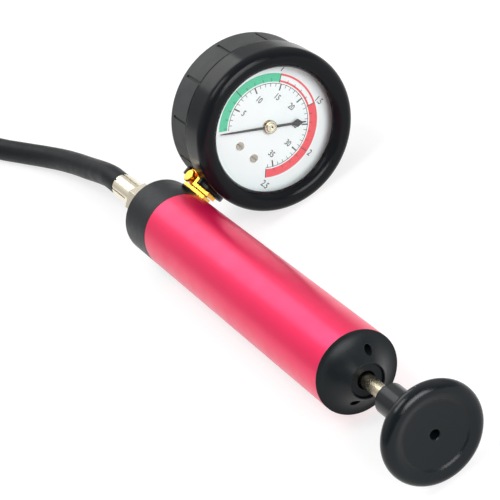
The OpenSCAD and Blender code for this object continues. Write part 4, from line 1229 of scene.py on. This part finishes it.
@dataclass
class PumpBarrel(Assembly):
    """The barrel, its caps, the plunger and the outlet valve."""

    finishes: Finishes = field(default_factory=lambda: {
        "red_anodised": ["barrel"], "cap_black": ["head_cap", "guide_cap", "rod_bush", "piston"],
        "knob_black": ["knob"], "seal_rubber": ["head_o_ring", "piston_cup", "rod_bumper"],
        "brass": ["check_seat"], "bright_steel": ["check_ball", "piston_washer", "piston_nut"],
        "rod_steel": ["piston_rod"]})


@dataclass
class StemTee(Assembly):
    """The brass tee with its release button, and the fitting that holds the hose."""

    finishes: Finishes = field(default_factory=lambda: {
        "brass": ["gauge_tee", "release_bush", "release_button"], "seal_rubber": ["stem_washer", "release_seal"],
        "nickel_plate": ["hose_fitting", "hose_ferrule"]})


@dataclass
class GaugeMovement(Assembly):
    """The tube's tip, the link, the sector and the pinion behind the dial."""

    finishes: Finishes = field(default_factory=lambda: {
        "bright_steel": ["pinion_arbor", "movement_screws", "case_screws"], "spring_steel": ["hairspring"],
        "dial_brass": ["sector_gear", "tip_link", "tube_tip", "gauge_socket", "rear_plate", "front_plate",
                       "plate_pillars"]})


@dataclass
class QuickCoupler(Assembly):
    """The coupler on the hose's far end."""

    finishes: Finishes = field(default_factory=lambda: {
        "coupler_nickel": ["end_ferrule", "coupler_adaptor", "coupler_body", "coupler_sleeve"],
        "bright_steel": ["coupler_balls"], "spring_steel": ["coupler_clip"], "seal_rubber": ["coupler_seal"],
        "dial_brass": ["coupler_valve"]})


def dial_matrix() -> Matrix:
    """Finds the dial's face from the joints' directions and the dial's height.

    Returns:
        The matrix from dial coordinates in metres to the row frame.
    """
    out = -joint_axis("pointer_swing")
    up = out.cross(joint_axis("release_press")).normalized()
    right = up.cross(out).normalized()
    pivot = Vector(JOINTS["pointer_swing"]["pos_m"])
    level = max(vertex.co.dot(out) for vertex in frame["nodes"]["gauge_dial"].data.vertices)
    columns = [right, up, out, pivot + out * (level - pivot.dot(out))]
    return Matrix([[column[row] for column in columns] for row in range(3)] + [[0, 0, 0, 1]])


@dataclass
class InkLayer:
    """One ink of the dial's printing, a thin closed sheet on the dial, drawn in millimetres."""

    name: str
    finish: str
    thick: float
    step_degrees: float = 2.0
    letter_share: float = 0.72
    letter_width: float = 0.76
    letter_weight: float = 0.05
    letter_smooth: int = 3
    mesh: bmesh.types.BMesh = field(default_factory=bmesh.new)

    def plate(self, rim: Sequence[Pair]) -> None:
        """Adds a thin plate.

        Args:
            rim: Its outline, drawn anticlockwise.
        """
        low = [self.mesh.verts.new((x * MM, y * MM, 0.0)) for x, y in rim]
        high = [self.mesh.verts.new((x * MM, y * MM, self.thick * MM)) for x, y in rim]
        self.mesh.faces.new(high)
        self.mesh.faces.new(low[::-1])
        for i, j in zip(range(len(rim)), [*range(1, len(rim)), 0]):
            self.mesh.faces.new((low[i], low[j], high[j], high[i]))

    def band(self, inner: float, outer: float, start: float, stop: float) -> None:
        """Adds a ring sector.

        Args:
            inner: Its inner radius.
            outer: Its outer radius.
            start: Its first angle in degrees, anticlockwise from the dial's right.
            stop: Its last angle, smaller than start.
        """
        count = max(1, round((start - stop) / self.step_degrees))
        angles = [stop + (start - stop) * step / count for step in range(count + 1)]
        for first, last in zip(angles, angles[1:]):
            self.plate([polar(inner, first), polar(outer, first), polar(outer, last), polar(inner, last)])

    def tick(self, angle: float, inner: float, outer: float, wide: float) -> None:
        """Adds a radial mark.

        Args:
            angle: Its angle in degrees.
            inner: Its inner radius.
            outer: Its outer radius.
            wide: Its width.
        """
        east, north = polar(1.0, angle)
        half = wide / 2
        self.plate([(east * reach - north * side, north * reach + east * side)
                    for reach, side in ((inner, -half), (outer, -half), (outer, half), (inner, half))])

    def number(self, words: str, angle: float, radius: float, tall: float) -> None:
        """Adds a number that stands upright to the dial.

        Args:
            words: The number.
            angle: The angle of its middle, in degrees.
            radius: The radius of its middle.
            tall: Its height.
        """
        face = bpy.data.curves.new("number", "FONT")
        face.body = words
        face.size = tall / self.letter_share * MM
        face.align_x = "CENTER"
        face.align_y = "CENTER"
        face.extrude = self.thick / 2 * MM
        face.offset = self.letter_weight * MM
        face.resolution_u = self.letter_smooth
        holder = bpy.data.objects.new("number", face)
        outline = holder.to_mesh()
        place = Matrix.Translation([v * MM for v in (*polar(radius, angle), self.thick / 2)])
        outline.transform(place @ Matrix.Diagonal((self.letter_width, 1.0, 1.0, 1.0)))
        self.mesh.from_mesh(outline)
        holder.to_mesh_clear()
        bpy.data.objects.remove(holder)
        bpy.data.curves.remove(face)

    def piece(self, place: Matrix) -> Piece:
        """Turns the layer into a piece at the dial's place on the pump's body."""
        bmesh.ops.remove_doubles(self.mesh, verts=self.mesh.verts, dist=1e-7)
        return pump_piece(self.name, self.mesh, place)


@dataclass
class GaugeHead(Assembly):
    """The boot, the case, the lens, the dial with its printing in millimetres and degrees, and the pointer."""

    finishes: Finishes = field(default_factory=lambda: {
        "boot_rubber": ["gauge_boot"], "case_black": ["gauge_case", "gauge_bezel"], "seal_rubber": ["lens_gasket"],
        "lens_glass": ["gauge_lens"], "dial_white": ["gauge_dial"], "screw_steel": ["dial_screws"],
        "pointer_black": ["pointer"], "pale_brass": ["pointer_hub"]})
    zero_bar: float = 231.8
    turn_per_bar: float = 112.3
    zero_psi: float = 232.2
    turn_per_psi: float = 7.742
    scale_start: float = 223.5
    green_end: float = 1.0
    red_start: float = 1.5
    red_end: float = 2.5
    band_inner: float = 20.2
    band_outer: float = 24.1
    outline: float = 0.85
    bar_marks: Sequence[int] = range(1, 26)
    marks_per_bar: int = 10
    bar_overlap: float = 0.3
    bar_short: float = 1.6
    bar_widths: Pair = (0.22, 0.36)
    arc_radius: float = 19.45
    arc_half: float = 0.13
    psi_marks: Sequence[int] = range(2, 37)
    psi_lengths: Pair = (1.5, 3.0)
    psi_widths: Pair = (0.24, 0.62)
    full_every: int = 5
    ink: float = 0.05
    overprint: float = 0.02
    bar_tall: float = 3.0
    bar_numbers: Sequence[Tuple[str, float]] = (
        ("0.5", 26.3), ("1", 26.3), ("1.5", 26.2), ("2", 25.8), ("2.5", 27.4))
    psi_tall: float = 2.8
    psi_numbers: Sequence[Tuple[str, float]] = (
        ("5", 14.2), ("10", 13.4), ("15", 13.4), ("20", 13.3), ("25", 13.4), ("30", 13.5), ("35", 13.5))

    def bar(self, value: float) -> float:
        """Gives the angle of a value on the outer scale."""
        return self.zero_bar - self.turn_per_bar * value

    def psi(self, value: float) -> float:
        """Gives the angle of a value on the inner scale."""
        return self.zero_psi - self.turn_per_psi * value

    def bands(self) -> List[InkLayer]:
        """Prints the green band, and the red one with its open start.

        Returns:
            The two layers.
        """
        opened = (self.bar(self.green_end), self.bar(self.red_start))
        green = InkLayer("dial_green_band", "scale_green", self.ink)
        green.band(self.band_inner, self.band_outer, self.scale_start, opened[0])
        red = InkLayer("dial_red_band", "scale_red", self.ink)
        red.band(self.band_inner, self.band_outer, opened[1], self.bar(self.red_end))
        red.band(self.band_outer - self.outline, self.band_outer, *opened)
        red.band(self.band_inner, self.band_inner + self.outline, *opened)
        return [green, red]

    def scales(self) -> List[InkLayer]:
        """Prints the marks of both scales and their numbers.

        Returns:
            The three layers.
        """
        outer = InkLayer("dial_outer_scale", "scale_black", self.ink + self.overprint)
        for mark in self.bar_marks:
            full = mark % self.full_every == 0
            outer.tick(self.bar(mark / self.marks_per_bar), self.band_inner - (self.bar_overlap if full else 0.0),
                       self.band_outer if full else self.band_inner + self.bar_short, self.bar_widths[full])
        inner = InkLayer("dial_inner_scale", "scale_black", self.ink)
        inner.band(self.arc_radius - self.arc_half, self.arc_radius + self.arc_half, self.scale_start,
                   self.bar(self.red_end))
        for mark in self.psi_marks:
            full = mark % self.full_every == 0
            inner.tick(self.psi(mark), self.arc_radius - self.psi_lengths[full], self.arc_radius,
                       self.psi_widths[full])
        numbers = InkLayer("dial_numbers", "scale_black", self.ink)
        for listed, angle, tall in ((self.bar_numbers, self.bar, self.bar_tall),
                                    (self.psi_numbers, self.psi, self.psi_tall)):
            for words, radius in listed:
                numbers.number(words, angle(float(words)), radius, tall)
        return [outer, inner, numbers]

    def build(self) -> None:
        """Prints the dial."""
        place = dial_matrix()
        for layer in self.bands() + self.scales():
            piece = layer.piece(place)
            self.made.append((piece, layer.finish))


def main() -> None:
    """Builds the camera and the pieces, then their finishes, the floor and the light."""
    logging.basicConfig(level=logging.INFO, format="%(message)s")
    studio = Studio()
    studio.build_camera()
    assemblies: Sequence[Assembly] = (
        FlexingSprings(), Hose(), GaugeHead(), PressureTube(), RodWiper(), PumpBarrel(), StemTee(), GaugeMovement(),
        QuickCoupler())
    for assembly in assemblies:
        assembly.build()
    palette = Palette(Effects())
    for assembly in assemblies:
        assembly.dress(palette)
    studio.build_floor()
    studio.build_light()


if __name__ == "__main__":
    main()
